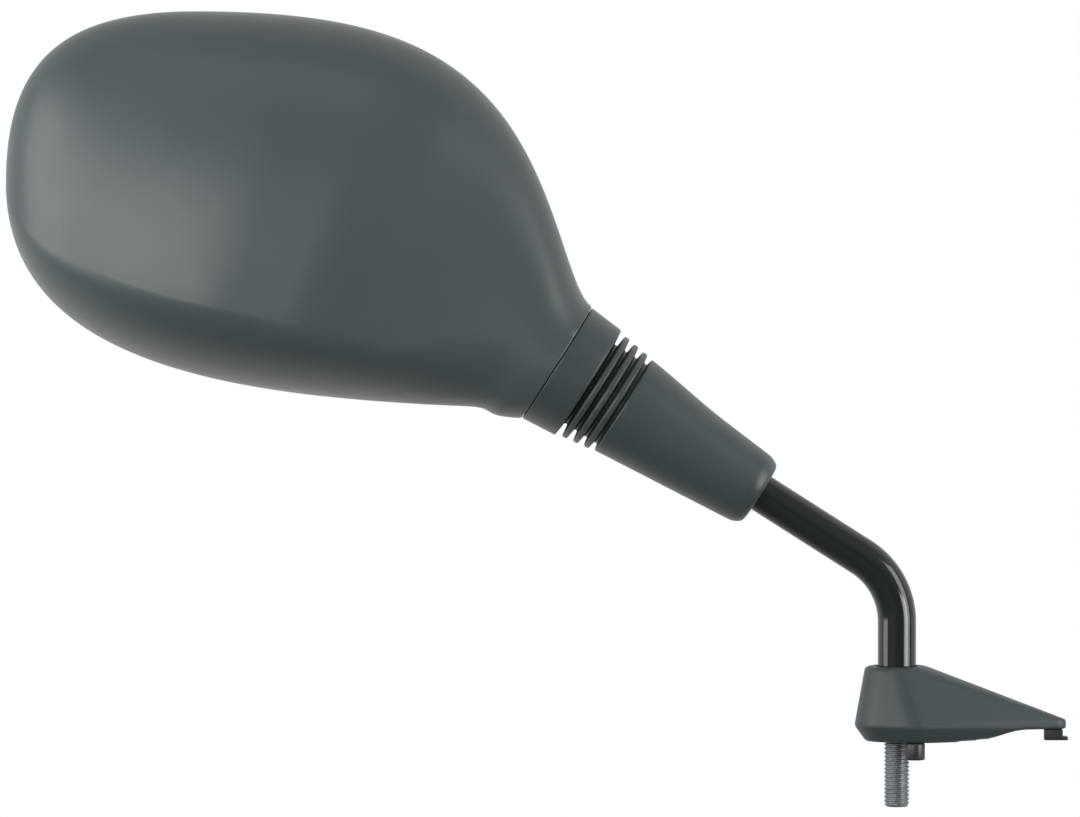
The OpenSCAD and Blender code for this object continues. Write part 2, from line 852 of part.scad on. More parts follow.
module rubber_boot() {
    grip_r = tube_r + press_gap;
    inside_r = nose_d / 2 + boot_gap;
    bead_w0 = seat_start + bead_start;
    on_seat_r = seat_r + rest_gap;
    collar_end = seam_w - seam_gap;
    color([0.23, 0.25, 0.26])
        in_neck()
            rotate_extrude()
                polygon(concat(
                    [[grip_r, -sleeve_reach]],
                    arc([tail_d / 2 - tail_round, -sleeve_reach + tail_round], tail_round, -90, 0, 5),
                    [[sleeve_d / 2, -bellows_start - 0.3]],
                    [for (i = [0 : groove_count - 1]) each groove(i)],
                    [
                        [collar_r, bellows_end + 0.8],
                        [collar_end_r, collar_end - 0.6],
                        [collar_end_r - 0.4, collar_end],
                        [on_seat_r, collar_end],
                        [on_seat_r, bead_w0 + bead_w + rest_gap],
                        [on_seat_r + bead_h, bead_w0 + bead_w * 3 / 4 + rest_gap],
                        [on_seat_r + bead_h, bead_w0 + bead_w / 4 - rest_gap],
                        [on_seat_r, bead_w0 - rest_gap],
                        [on_seat_r, seat_start - 0.2],
                        [inside_r, seat_start - 0.8],
                        [inside_r, -bellows_start],
                        [sleeve_d / 2 - 1.8, -bellows_start - 1.2],
                        [tail_d / 2 - 3.4, -sleeve_reach + grip_l + 3],
                        [grip_r, -sleeve_reach + grip_l]
                    ]
                ));
}

// Stem nodes

// The tube's centreline as a solid run, from its foot to the end near the ball.
// The drawn-in bend runs a little way into both straights.
module tube_run(r, extra) {
    overlap_angle = 0.4;
    translate([0, 0, tube_foot - extra])
        cylinder(r = r, h = bend_start - tube_foot + extra);
    translate([-bend_r, 0, bend_start])
        rotate([90, 0, 0])
            rotate([0, 0, -overlap_angle])
                rotate_extrude(angle = turn + 2 * overlap_angle)
                    translate([bend_r, 0])
                        circle(r = r - bend_draw);
    in_arm(bend_tangent)
        cylinder(r = r, h = ball_distance - ball_standoff - bend_tangent + extra);
}

module stem_tube() {
    color([0.07, 0.08, 0.09])
        difference() {
            tube_run(tube_r, 0);
            tube_run(bore_r, cut);
        }
}

module threaded_stud() {
    relief_r = stud_r - 0.6;
    in_tube_r = bore_r - press_gap;
    color([0.62, 0.62, 0.64])
        rotate_extrude()
            polygon([
                [0, -stud_reach],
                [stud_r - stud_chamfer, -stud_reach],
                [stud_r, -stud_reach + stud_chamfer],
                [stud_r, 0],
                [relief_r, 0.4],
                [relief_r, washer_t - 0.4],
                [stud_r, washer_t],
                [stud_r, tube_foot - 0.2],
                [in_tube_r, tube_foot + 0.3],
                [in_tube_r, tube_foot + stud_seat - 0.6],
                [in_tube_r - 0.6, tube_foot + stud_seat],
                [0, tube_foot + stud_seat]
            ]);
}

spring_washer_z = washer_t + rest_gap;
nut_z = spring_washer_z + spring_washer_t + rest_gap;

module lock_nut() {
    corner_r = nut_af / 2 / cos(30);
    color([0.66, 0.67, 0.69])
        translate([0, 0, nut_z])
            difference() {
                intersection() {
                    cylinder(r = corner_r, h = nut_h, $fn = 6);
                    rotate_extrude()
                        polygon([
                            [0, 0],
                            [nut_af / 2 - 0.3, 0],
                            [corner_r + 0.1, 0.6],
                            [corner_r + 0.1, nut_h - 0.6],
                            [nut_af / 2 - 0.3, nut_h],
                            [0, nut_h]
                        ]);
                }
                translate([0, 0, -cut])
                    cylinder(r = stud_r + run_gap, h = nut_h + 2 * cut);
            }
}

module spring_washer() {
    color([0.50, 0.51, 0.53])
        translate([0, 0, spring_washer_z])
            difference() {
                cylinder(d = spring_washer_d, h = spring_washer_t);
                translate([0, 0, -cut])
                    cylinder(r = stud_r + 0.15, h = spring_washer_t + 2 * cut);
                rotate([0, 0, 150])
                    translate([0, -washer_slit / 2, -cut])
                        rotate([0, 0, 12])
                            cube([spring_washer_d, washer_slit, spring_washer_t + 2 * cut]);
            }
}

module plain_washer() {
    color([0.66, 0.67, 0.69])
        difference() {
            cylinder(d = washer_d, h = washer_t);
            translate([0, 0, -cut])
                cylinder(r = stud_r + 0.2, h = washer_t + 2 * cut);
        }
}

// Cover nodes

bush_r = tube_r + run_gap + bush_t;
bush_collar_r = bush_r + run_gap;
roof_z = cover_h - cover_t;

// A disc with rounded upper and lower edges, for the corners of the cover.
module soft_disc(r, h, soft) {
    rotate_extrude($fn = 44)
        polygon(concat(
            [[0, 0]],
            arc([r - soft, soft], soft, -90, 0, 3),
            arc([r - soft, h - soft], soft, 0, 90, 3),
            [[0, h]]
        ));
}

// The cover's wedge, drawn in by a wall's thickness for the hollow.
module cover_wedge(inset) {
    tip_r = tip_w / 2;
    tip_x = cover_reach - tip_r;
    rim_land = 0.5;
    soft = max(0.3, cover_round - inset);
    hull() {
        translate([0, 0, inset ? -cut : 0])
            cylinder(d = cover_foot_d - 2 * inset, h = rim_land, $fn = 44);
        translate([0, 0, cover_wide_h - 1])
            cylinder(d = cover_d - 2 * inset, h = 1, $fn = 44);
        translate([shoulder_x, 0, cover_wide_h - 1])
            cylinder(d = cover_w - 2 * inset, h = 1, $fn = 44);
        translate([shoulder_x, 0, inset ? -cut : 0])
            cylinder(d = cover_foot_w - 2 * inset, h = rim_land, $fn = 44);
        translate([0, 0, cover_h - inset - 2 * soft])
            soft_disc(cover_top_d / 2 - inset, 2 * soft, soft);
        translate([narrow_x, 0, inset ? -cut : 0])
            cylinder(d = narrow_w - 2 * inset, h = rim_land, $fn = 44);
        translate([tip_x - inset * 4, 0, tip_under - (inset ? inset : 0)])
            cylinder(r = tip_r - inset * 0.8, h = tip_top - tip_under - (inset ? 0.2 : 0), $fn = 32);
    }
}

// What the bottom rim's rise towards the tip takes away.
module rim_rise() {
    slab(-cover_w, cover_w)
        polygon(concat(
            [[rise_x, -2 * cut]],
            [for (i = [0 : 6])
                [mix(rise_x, rise_end_x, i / 6), tip_under * ease(0, 1, i / 6)]],
            [[cover_reach + cut, tip_under], [cover_reach + cut, -2 * cut]]
        ));
}

module base_cover() {
    color([0.33, 0.36, 0.37])
        difference() {
            union() {
                difference() {
                    cover_wedge(0);
                    cover_wedge(cover_t);
                    rim_rise();
                }
                translate([0, 0, roof_z - bush_l])
                    cylinder(r = bush_collar_r + bush_collar_t, h = bush_l + cover_t / 2);
                translate([peg_x, -peg_y, 0])
                    cylinder(d = boss_d, h = boss_h);
            }
            translate([0, 0, roof_z - bush_l - cut])
                cylinder(r = bush_collar_r, h = bush_l + cut);
            cylinder(d = cover_hole_d, h = cover_h + cut);
            translate([peg_x, -peg_y, -cut])
                cylinder(r = peg_stem_d / 2 + press_gap, h = boss_h - 1 + cut);
            translate([hook_x - hook_body / 4, -hook_w / 4, 0])
                cube([hook_body / 2, hook_w / 2, tip_under + 1.2]);
        }
}

module cover_bush() {
    color([0.10, 0.10, 0.10])
        translate([0, 0, roof_z - bush_l + 0.1])
            difference() {
                cylinder(r = bush_r, h = bush_l - 0.1 - rest_gap);
                translate([0, 0, -cut])
                    cylinder(r = tube_r + run_gap, h = bush_l + 2 * cut);
            }
}

module locating_peg() {
    color([0.06, 0.07, 0.08])
        translate([peg_x, -peg_y, 0]) {
            translate([0, 0, -peg_l])
                cylinder(d = peg_d, h = peg_l - rest_gap);
            translate([0, 0, -cut])
                cylinder(d = peg_stem_d, h = boss_h - 1 + cut - rest_gap);
        }
}

module tip_hook() {
    top = tip_under - rest_gap;
    color([0.06, 0.07, 0.08])
        translate([hook_x, 0, 0]) {
            translate([-hook_body / 2, -hook_w / 2, hook_low])
                cube([hook_body, hook_w, top - hook_low]);
            translate([0, -hook_w / 2, hook_low])
                cube([hook_body / 2 + hook_foot, hook_w, hook_foot_t]);
            translate([-hook_body / 4 + press_gap, -hook_w / 4 + press_gap, top - cut])
                cube([hook_body / 2 - 2 * press_gap, hook_w / 2 - 2 * press_gap, cut + 1.2]);
        }
}

housing_shell();
mirror_glass();
glass_pad();
glass_carrier();
carrier_screws();
clamp_plate();
clamp_screws();
disc_springs();
pressure_cap();
upper_ball_cup();
lower_ball_cup();
ball_stud();
rubber_boot();
stem_tube();
threaded_stud();
lock_nut();
spring_washer();
plain_washer();
base_cover();
cover_bush();
locating_peg();
tip_hook();
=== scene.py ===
import json
from math import acos, cos, pi, radians, sin, sqrt, tan

import bmesh
import bpy
from mathutils import Matrix, Vector


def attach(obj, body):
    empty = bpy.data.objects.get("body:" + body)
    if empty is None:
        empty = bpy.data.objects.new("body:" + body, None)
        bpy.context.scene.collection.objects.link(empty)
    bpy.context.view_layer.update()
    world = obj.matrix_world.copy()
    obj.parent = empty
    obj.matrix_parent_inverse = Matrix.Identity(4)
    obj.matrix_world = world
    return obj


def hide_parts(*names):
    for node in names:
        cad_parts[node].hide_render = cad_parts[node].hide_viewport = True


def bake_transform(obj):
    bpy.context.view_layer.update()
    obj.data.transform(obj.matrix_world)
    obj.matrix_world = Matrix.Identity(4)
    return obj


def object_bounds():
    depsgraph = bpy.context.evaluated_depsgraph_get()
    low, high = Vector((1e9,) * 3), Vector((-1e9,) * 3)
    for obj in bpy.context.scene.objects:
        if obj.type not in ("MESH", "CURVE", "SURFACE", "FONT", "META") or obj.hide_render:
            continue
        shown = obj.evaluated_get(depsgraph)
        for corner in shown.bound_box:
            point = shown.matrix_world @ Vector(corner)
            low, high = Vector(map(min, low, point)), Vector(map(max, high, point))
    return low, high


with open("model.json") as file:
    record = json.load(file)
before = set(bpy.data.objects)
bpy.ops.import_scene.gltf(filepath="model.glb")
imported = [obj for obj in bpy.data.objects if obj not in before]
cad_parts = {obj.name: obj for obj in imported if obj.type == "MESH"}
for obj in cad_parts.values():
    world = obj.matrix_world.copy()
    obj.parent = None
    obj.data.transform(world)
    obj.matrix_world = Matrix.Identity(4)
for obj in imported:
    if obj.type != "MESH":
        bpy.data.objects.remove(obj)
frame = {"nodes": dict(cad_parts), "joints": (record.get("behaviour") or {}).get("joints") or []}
nodes = frame["nodes"]
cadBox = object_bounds()
mm = 0.001

swivel = next(j for j in frame["joints"] if j["name"] == "head_swivel")
ballCentre = Vector(swivel["pos_m"])
armWay = Vector(swivel["axis"]).normalized()          # up the arm, from the stem to the head
armSide = Vector((armWay.z, 0, -armWay.x))            # across the arm, upwards
headFrame = Matrix.Translation(ballCentre)
neckFrame = Matrix((
    (armSide.x, 0, armWay.x, ballCentre.x),
    (0, 1, 0, 0),
    (armSide.z, 0, armWay.z, ballCentre.z),
    (0, 0, 0, 1),
))


def withSettings(thing, settings):
    for name, value in settings.items():
        setattr(thing, name, value)
    return thing


# Small helpers for node trees

def addNode(tree, kind, inputs=None, **settings):
    made = withSettings(tree.nodes.new(kind), settings)
    for name, value in (inputs or {}).items():
        if isinstance(value, bpy.types.NodeSocket):
            tree.links.new(value, made.inputs[name])
        else:
            made.inputs[name].default_value = value
    return made


def firstOf(tree, kind, inputs=None, **settings):
    return addNode(tree, kind, inputs, **settings).outputs[0]


def maths(tree, operation, first, second=None, clamp=False):
    inputs = {0: first} if second is None else {0: first, 1: second}
    return firstOf(tree, "ShaderNodeMath", inputs, operation=operation, use_clamp=clamp)


def plus(tree, first, second):
    return maths(tree, "ADD", first, second)


def minus(tree, first, second):
    return maths(tree, "SUBTRACT", first, second)


def times(tree, first, second):
    return maths(tree, "MULTIPLY", first, second)


def vectorMaths(tree, operation, first, second):
    return firstOf(tree, "ShaderNodeVectorMath", {0: first, 1: second}, operation=operation)


def scaled(tree, vector, factor):
    return firstOf(tree, "ShaderNodeVectorMath", {0: vector, "Scale": factor}, operation="SCALE")


def mapRange(tree, value, fromMin, fromMax, toMin, toMax, smooth=False):
    inputs = {"Value": value, "From Min": fromMin, "From Max": fromMax, "To Min": toMin, "To Max": toMax}
    kind = "SMOOTHSTEP" if smooth else "LINEAR"
    return firstOf(tree, "ShaderNodeMapRange", inputs, interpolation_type=kind)


def partsOf(tree, vector):
    return addNode(tree, "ShaderNodeSeparateXYZ", {0: vector}).outputs


def joined(tree, x, y, z):
    return firstOf(tree, "ShaderNodeCombineXYZ", {0: x, 1: y, 2: z})


def chooseValue(tree, condition, ifFalse, ifTrue, kind="FLOAT"):
    inputs = {"Switch": condition, "False": ifFalse, "True": ifTrue}
    return firstOf(tree, "GeometryNodeSwitch", inputs, input_type=kind)


def isBelow(tree, value, limit):
    kinds = {"data_type": "FLOAT", "operation": "LESS_THAN"}
    return firstOf(tree, "FunctionNodeCompare", {"A": value, "B": limit}, **kinds)


def geometryTree(name, **labels):
    # labels: the names of the inputs, by their kind
    tree = bpy.data.node_groups.new(name, "GeometryNodeTree")
    for kind, names in {**labels, "Material": ["Material"]}.items():
        for label in names:
            tree.interface.new_socket(name=label, in_out="INPUT", socket_type="NodeSocket" + kind)
    tree.interface.new_socket(name="Geometry", in_out="OUTPUT", socket_type="NodeSocketGeometry")
    return tree, addNode(tree, "NodeGroupInput").outputs


def endTree(tree, given, geometry):
    real = firstOf(tree, "GeometryNodeRealizeInstances", {"Geometry": geometry})
    coated = addNode(tree, "GeometryNodeSetMaterial", {"Geometry": real, "Material": given["Material"]})
    addNode(tree, "NodeGroupOutput", {"Geometry": coated.outputs[0]})


def turnedPoint(tree, radius, angle, height):
    return joined(
        tree, times(tree, radius, maths(tree, "COSINE", angle)),
        times(tree, radius, maths(tree, "SINE", angle)), height)


def unitGrid(tree, rows, columns):
    sizes = {"Size X": 1, "Size Y": 1, "Vertices X": rows, "Vertices Y": columns}
    return addNode(tree, "GeometryNodeMeshGrid", sizes).outputs["Mesh"]


def shapeOf(tree, thing):
    return addNode(tree, "GeometryNodeObjectInfo", {"Object": thing}).outputs["Geometry"]


def positionOf(tree):
    return firstOf(tree, "GeometryNodeInputPosition")


def endSurface(tree, given, grid, point, gap):
    # moves the grid's points into place and closes its seam and poles
    shaped = firstOf(tree, "GeometryNodeSetPosition", {"Geometry": grid, "Position": point})
    merged = addNode(tree, "GeometryNodeMergeByDistance", {"Geometry": shaped, "Distance": gap})
    endTree(tree, given, merged.outputs[0])


def sizesFor(labels, sizes, unit=1):
    # the values of a tree's inputs: the input "Tip Cap" takes the size "tipCap"
    names = [label.replace(" ", "") for label in labels]
    return {label: sizes[name[0].lower() + name[1:]] * unit for label, name in zip(labels, names)}


def added(name, data):
    made = bpy.data.objects.new(name, data)
    bpy.context.scene.collection.objects.link(made)
    return made


def removed(*things):
    for thing in things:
        bpy.data.objects.remove(thing)


def grown(name, tree, values):
    # runs a tree on an empty mesh and keeps the result as a plain mesh
    host = added(name, bpy.data.meshes.new(name))
    modifier = host.modifiers.new("grow", "NODES")
    modifier.node_group = tree
    sockets = {s.name: s.identifier for s in tree.interface.items_tree if s.in_out == "INPUT"}
    for label, value in values.items():
        modifier[sockets[label]] = value
    bakeModifiers(host)
    return host


def bakeModifiers(thing):
    graph = bpy.context.evaluated_depsgraph_get()
    mesh = bpy.data.meshes.new_from_object(thing.evaluated_get(graph), depsgraph=graph)
    mesh.name = thing.name
    thing.modifiers.clear()
    thing.data = mesh


# Small helpers for meshes

def meshObject(name, points, faces, edges=()):
    mesh = bpy.data.meshes.new(name)
    mesh.from_pydata([tuple(p) for p in points], edges, faces)
    mesh.update()
    return added(name, mesh)


def opened(thing, gap=0):
    work = bmesh.new()
    work.from_mesh(thing.data)
    if gap:
        bmesh.ops.remove_doubles(work, verts=work.verts, dist=gap)
    return work


def stored(work, thing):
    work.to_mesh(thing.data)
    work.free()


def closeUp(thing, gap=0.004 * mm):
    # merges doubles, fills open ends and turns every face outwards
    work = opened(thing, gap)
    bmesh.ops.dissolve_degenerate(work, edges=work.edges, dist=gap)
    loose = [v for v in work.verts if not v.link_faces]
    bmesh.ops.delete(work, geom=loose, context="VERTS")
    bmesh.ops.holes_fill(work, edges=[e for e in work.edges if e.is_boundary], sides=0)
    bmesh.ops.recalc_face_normals(work, faces=work.faces)
    if work.calc_volume(signed=True) < 0:
        bmesh.ops.reverse_faces(work, faces=work.faces)
    stored(work, thing)
    return thing


def tidied(thing, gap=0.0005 * mm):
    # clears the slivers that cutting leaves, so that the mesh is valid for a printer too
    work = opened(thing, gap)
    bmesh.ops.triangulate(work, faces=[f for f in work.faces if len(f.verts) > 4])
    bmesh.ops.dissolve_degenerate(work, edges=work.edges, dist=gap)
    stored(work, thing)
    thing.data.validate()


def placed(thing, matrix):
    thing.data.transform(matrix)
    thing.data.update()
    return thing


def modify(thing, kind, **settings):
    withSettings(thing.modifiers.new(kind.lower(), kind), settings)


def combined(thing, other, operation, keepOther=False):
    modify(thing, "BOOLEAN", operation=operation, solver="MANIFOLD", object=other)
    bakeModifiers(thing)
    if not keepOther:
        removed(other)


def keptInBox(thing):
    # the finer mesh reaches a hair past the solids' box at its crown and tip
    low, high = cadBox
    for vertex in thing.data.vertices:
        vertex.co = [min(max(c, least), most) for c, least, most in zip(vertex.co, low, high)]


def newCurve(name, kind):
    curve = bpy.data.curves.new(name, "CURVE")
    curve.dimensions = "3D"
    return curve, curve.splines.new(kind)


def painted(thing, material):
    thing.data.materials.clear()
    thing.data.materials.append(material)


def dressed(thing, sharpFrom, material, body=None, nodeName=None):
    # sharpFrom: the angle of its sharp edges; body: the body it rides on; nodeName: the CAD node it replaces
    thing.data.shade_smooth()
    thing.data.set_sharp_from_angle(angle=radians(sharpFrom))
    painted(thing, material)
    if body:
        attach(thing, body)
    if nodeName:
        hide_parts(nodeName)


# A profile of radius and height, turned about the Z axis

def buildRevolveTree():
    tree, given = geometryTree("turnedProfile", Object=["Profile"], Int=["Profile Points", "Segments"])
    profile = shapeOf(tree, given["Profile"])
    columns = plus(tree, given["Segments"], 1)
    grid = unitGrid(tree, given["Profile Points"], columns)
    index = firstOf(tree, "GeometryNodeInputIndex")
    row = maths(tree, "FLOOR", maths(tree, "DIVIDE", plus(tree, index, 0.5), columns))
    column = minus(tree, index, times(tree, row, columns))
    turn = times(tree, maths(tree, "DIVIDE", column, given["Segments"]), 2 * pi)
    inputs = {"Geometry": profile, "Value": positionOf(tree), "Index": row}
    kinds = {"data_type": "FLOAT_VECTOR", "domain": "POINT"}
    parts = partsOf(tree, firstOf(tree, "GeometryNodeSampleIndex", inputs, **kinds))
    endSurface(tree, given, grid, turnedPoint(tree, parts["X"], turn, parts["Z"]), 0.002 * mm)
    return tree


revolveTree = buildRevolveTree()


def turnedPiece(name, profile, segments=128):
    # profile: (radius, height) in millimetres
    points = [Vector((r, 0, z)) * mm for r, z in profile]
    line = meshObject(name + "Line", points, [], [(i, i + 1) for i in range(len(points) - 1)])
    made = grown(name, revolveTree, {"Profile": line, "Profile Points": len(profile), "Segments": segments})
    removed(line)
    return closeUp(made)


def roundRod(name, radius, low, high, segments):
    return turnedPiece(name, [(0, low), (radius, low), (radius, high), (0, high)], segments)


def softened(points, steps=4):
    # rounds the corners of a closed outline, each by the radius that is its third value
    smooth = []
    count = len(points)
    for i, point in enumerate(points):
        before = Vector(points[i - 1][:2])
        here = Vector(point[:2])
        after = Vector(points[(i + 1) % count][:2])
        back, on = before - here, after - here
        reach = min(point[2], back.length * 0.45, on.length * 0.45)
        if reach < 0.01:
            smooth.append(tuple(here))
            continue
        start, end = here + back.normalized() * reach, here + on.normalized() * reach
        for k in range(steps + 1):
            t = k / steps
            smooth.append(tuple(start * (1 - t) ** 2 + here * 2 * t * (1 - t) + end * t ** 2))
    return smooth


def arc(radius, start, end, steps):
    angles = [start + (end - start) * k / steps for k in range(steps + 1)]
    return [(radius * cos(a), radius * sin(a)) for a in angles]


# Shader groups

def shaderGroup(name, inputs, outputs):
    tree = bpy.data.node_groups.new(name, "ShaderNodeTree")
    for label, value in inputs:
        socket = tree.interface.new_socket(name=label, in_out="INPUT", socket_type="NodeSocketFloat")
        socket.default_value = value
    for label in outputs:
        tree.interface.new_socket(name=label, in_out="OUTPUT", socket_type="NodeSocketFloat")
    coordinates = addNode(tree, "ShaderNodeTexCoord").outputs["Object"]
    return tree, addNode(tree, "NodeGroupInput").outputs, coordinates


def noise(tree, coordinates, scale, detail, roughness=0.5, distortion=0):
    inputs = {"Vector": coordinates, "Scale": scale, "Detail": detail, "Roughness": roughness}
    return firstOf(tree, "ShaderNodeTexNoise", {**inputs, "Distortion": distortion})


def stretched(tree, coordinates, upright, turn=(0, 0, 0)):
    # a pattern drawn out along Z, the more so the smaller the share
    inputs = {"Vector": coordinates, "Scale": (1, 1, upright), "Rotation": turn}
    return firstOf(tree, "ShaderNodeMapping", inputs)


def buildGrainGroup():
    # spark-eroded grain of a mould, and the slow drift in tone of moulded plastic
    tree, given, coordinates = shaderGroup(
        "mouldGrain", [("Grain Scale", 2600), ("Drift Scale", 14)], ["Grain", "Drift", "Speckle"])
    fine = noise(tree, coordinates, given["Grain Scale"], 2, 0.6)
    coarse = noise(tree, coordinates, times(tree, given["Grain Scale"], 0.31), 2)
    grain = plus(tree, times(tree, fine, 0.65), times(tree, coarse, 0.35))
    drift = noise(tree, coordinates, given["Drift Scale"], 4, 0.55, 0.4)
    speckle = mapRange(tree, noise(tree, coordinates, 900, 2, 0.7), 0.62, 0.78, 0, 1, smooth=True)
    addNode(tree, "NodeGroupOutput", {"Grain": grain, "Drift": drift, "Speckle": speckle})
    return tree


def buildHandlingGroup():
    # faint rubs and wiped marks that change the gloss
    tree, given, coordinates = shaderGroup(
        "handlingMarks", [("Mark Scale", 40), ("Share", 0.5)], ["Marks", "Rubs"])
    wide = noise(tree, stretched(tree, coordinates, 0.35), given["Mark Scale"], 5, 0.62, 1.2)
    marks = mapRange(tree, wide, given["Share"], plus(tree, given["Share"], 0.22), 0, 1, smooth=True)
    thin = stretched(tree, coordinates, 0.06, (0.5, 0.3, 0.9))
    rubs = mapRange(tree, noise(tree, thin, 900, 2), 0.66, 0.74, 0, 1, smooth=True)
    addNode(tree, "NodeGroupOutput", {"Marks": marks, "Rubs": rubs})
    return tree


def buildPlatingGroup():
    # cloudy zinc plating with fine drawing lines along Z
    tree, given, coordinates = shaderGroup(
        "zincPlating", [("Cloud Scale", 90), ("Line Scale", 700)], ["Clouds", "Lines"])
    clouds = noise(tree, coordinates, given["Cloud Scale"], 5, 0.65, 0.6)
    lines = noise(tree, stretched(tree, coordinates, 0.08), given["Line Scale"], 3, 0.6)
    addNode(tree, "NodeGroupOutput", {"Clouds": clouds, "Lines": lines})
    return tree


grainGroup = buildGrainGroup()
handlingGroup = buildHandlingGroup()
platingGroup = buildPlatingGroup()


def emptyTree(owner):
    owner.use_nodes = True
    owner.node_tree.nodes.clear()
    return owner.node_tree


def newMaterial(name):
    material = bpy.data.materials.new(name)
    return material, emptyTree(material)


def endMaterial(tree, colour, roughness, normal=None, **constants):
    inputs = {"Base Color": colour, "Roughness": roughness, **constants}
    if normal:
        inputs["Normal"] = normal
    surface = firstOf(tree, "ShaderNodeBsdfPrincipled", inputs)
    addNode(tree, "ShaderNodeOutputMaterial", {"Surface": surface})


def placeGroup(tree, group, inputs=None):
    return addNode(tree, "ShaderNodeGroup", inputs, node_tree=group).outputs


def mixColour(tree, factor, first, second):
    inputs = {"Factor": factor, 6: (*first, 1), 7: (*second, 1)}
    return addNode(tree, "ShaderNodeMix", inputs, data_type="RGBA").outputs[2]


def bump(tree, height, strength, depth):
    # depth in millimetres
    inputs = {"Height": height, "Strength": strength, "Distance": depth * mm}
    return firstOf(tree, "ShaderNodeBump", inputs)


def plastic(name, colour, drift, roughness):
    material, tree = newMaterial(name)
    grain = placeGroup(tree, grainGroup)
    marks = placeGroup(tree, handlingGroup)
    tone = mapRange(tree, grain["Drift"], 0.3, 0.7, 0, 1)
    base = mixColour(tree, tone, colour, drift)
    worn = mapRange(tree, marks["Marks"], 0, 1, roughness, roughness - 0.05)
    worn = minus(tree, worn, times(tree, marks["Rubs"], 0.04))
    endMaterial(tree, base, worn, bump(tree, grain["Grain"], 0.18, 0.02))
    return material


def rubber(name, colour, drift, roughness, grainDepth=0.02):
    material, tree = newMaterial(name)
    grain = placeGroup(tree, grainGroup, {"Grain Scale": 1700, "Drift Scale": 30})
    tone = mapRange(tree, grain["Drift"], 0.35, 0.65, 0, 1)
    bloom = maths(tree, "MAXIMUM", tone, grain["Speckle"])
    base = mixColour(tree, bloom, colour, drift)
    gloss = mapRange(tree, grain["Grain"], 0.3, 0.7, roughness - 0.05, roughness + 0.05)
    endMaterial(tree, base, gloss, bump(tree, grain["Grain"], 0.22, grainDepth), **{"Sheen Weight": 0.04})
    return material


def metal(name, colour, dull, roughness, lineDepth=0.006):
    material, tree = newMaterial(name)
    plating = placeGroup(tree, platingGroup)
    tone = mapRange(tree, plating["Clouds"], 0.35, 0.65, 0, 1)
    base = mixColour(tree, tone, colour, dull)
    gloss = mapRange(tree, plating["Clouds"], 0.3, 0.7, roughness - 0.06, roughness + 0.1)
    endMaterial(tree, base, gloss, bump(tree, plating["Lines"], 0.4, lineDepth), Metallic=1)
    return material


def glossPaint(name, colour, drift):
    material, tree = newMaterial(name)
    grain = placeGroup(tree, grainGroup, {"Grain Scale": 260, "Drift Scale": 60})
    marks = placeGroup(tree, handlingGroup, {"Mark Scale": 90})
    base = mixColour(tree, grain["Drift"], colour, drift)
    gloss = mapRange(tree, marks["Marks"], 0, 1, 0.12, 0.2)
    endMaterial(tree, base, gloss, bump(tree, grain["Grain"], 0.1, 0.006))   # slight orange peel
    return material


def silveredGlass(name):
    material, tree = newMaterial(name)
    marks = placeGroup(tree, handlingGroup, {"Mark Scale": 25, "Share": 0.6})
    base = mixColour(tree, marks["Marks"], (0.82, 0.85, 0.87), (0.76, 0.79, 0.81))
    endMaterial(tree, base, mapRange(tree, marks["Marks"], 0, 1, 0.015, 0.04), Metallic=1)
    return material


housingPlastic = plastic("housingPlastic", (0.052, 0.067, 0.071), (0.058, 0.073, 0.077), 0.39)
coverPlastic = plastic("coverPlastic", (0.026, 0.037, 0.041), (0.032, 0.044, 0.048), 0.5)
blackPlastic = plastic("blackPlastic", (0.010, 0.013, 0.014), (0.014, 0.017, 0.018), 0.42)
carrierPlastic = plastic("carrierPlastic", (0.020, 0.021, 0.022), (0.026, 0.027, 0.028), 0.5)
bearingPlastic = plastic("bearingPlastic", (0.78, 0.78, 0.74), (0.70, 0.70, 0.65), 0.38)
bootRubber = rubber("bootRubber", (0.034, 0.046, 0.050), (0.041, 0.054, 0.058), 0.42)
bushRubber = rubber("bushRubber", (0.018, 0.018, 0.019), (0.026, 0.026, 0.027), 0.65)
foamPad = rubber("foamPad", (0.028, 0.028, 0.028), (0.04, 0.04, 0.04), 0.85, 0.12)
blackPaint = glossPaint("blackPaint", (0.006, 0.010, 0.011), (0.010, 0.014, 0.015))
zincScrew = metal("zincScrew", (0.62, 0.63, 0.65), (0.50, 0.51, 0.53), 0.3)
zincPlate = metal("zincPlate", (0.60, 0.61, 0.63), (0.46, 0.47, 0.49), 0.36)
springSteel = metal("springSteel", (0.28, 0.29, 0.31), (0.18, 0.19, 0.20), 0.38)
brightSteel = metal("brightSteel", (0.68, 0.69, 0.71), (0.58, 0.59, 0.61), 0.22)
zincStud = metal("zincStud", (0.29, 0.31, 0.32), (0.22, 0.24, 0.25), 0.42, 0.003)
mirrorSilver = silveredGlass("mirrorSilver")
print("materials ready")


# Head

headSizes = {
    "seamOut": 17.8, "seamRadius": 20.5, "reach": 187, "tipRise": 65.5, "crownRise": 119, "crownBack": 128,
    "shoulderRise": 89.5, "shoulderBack": 34.3, "shoulderSlope": 49.5,
    "bellyBack": 43.6, "bellyDrop": 4.1, "bellySlope": 1.6, "edgeLength": 250,
    "shoulderPull": 30, "crownPullIn": 45, "crownPullOut": 40, "tipPullUp": 39, "tipPullDown": 50,
    "bellyPullOut": 90, "bellyPullIn": 11, "neckPullUp": 9.5, "neckPullDown": 14,
    "flareUp": 3.5, "flareDown": 30, "rimForward": 20, "waistForward": 11, "backDepth": 30,
    "wall": 2.2, "cavityStart": 2.82, "cavityEnd": 0.985, "postStart": 0.02,
    "backBlend": 0.42, "frontBlend": 0.3, "tipCap": 0.5, "tipEdge": 0.07,
    "ridgeBlend": 0.27, "ridgeShare": 0.8, "domePower": 2.3, "keelPower": 1.8, "rimPower": 7,
}
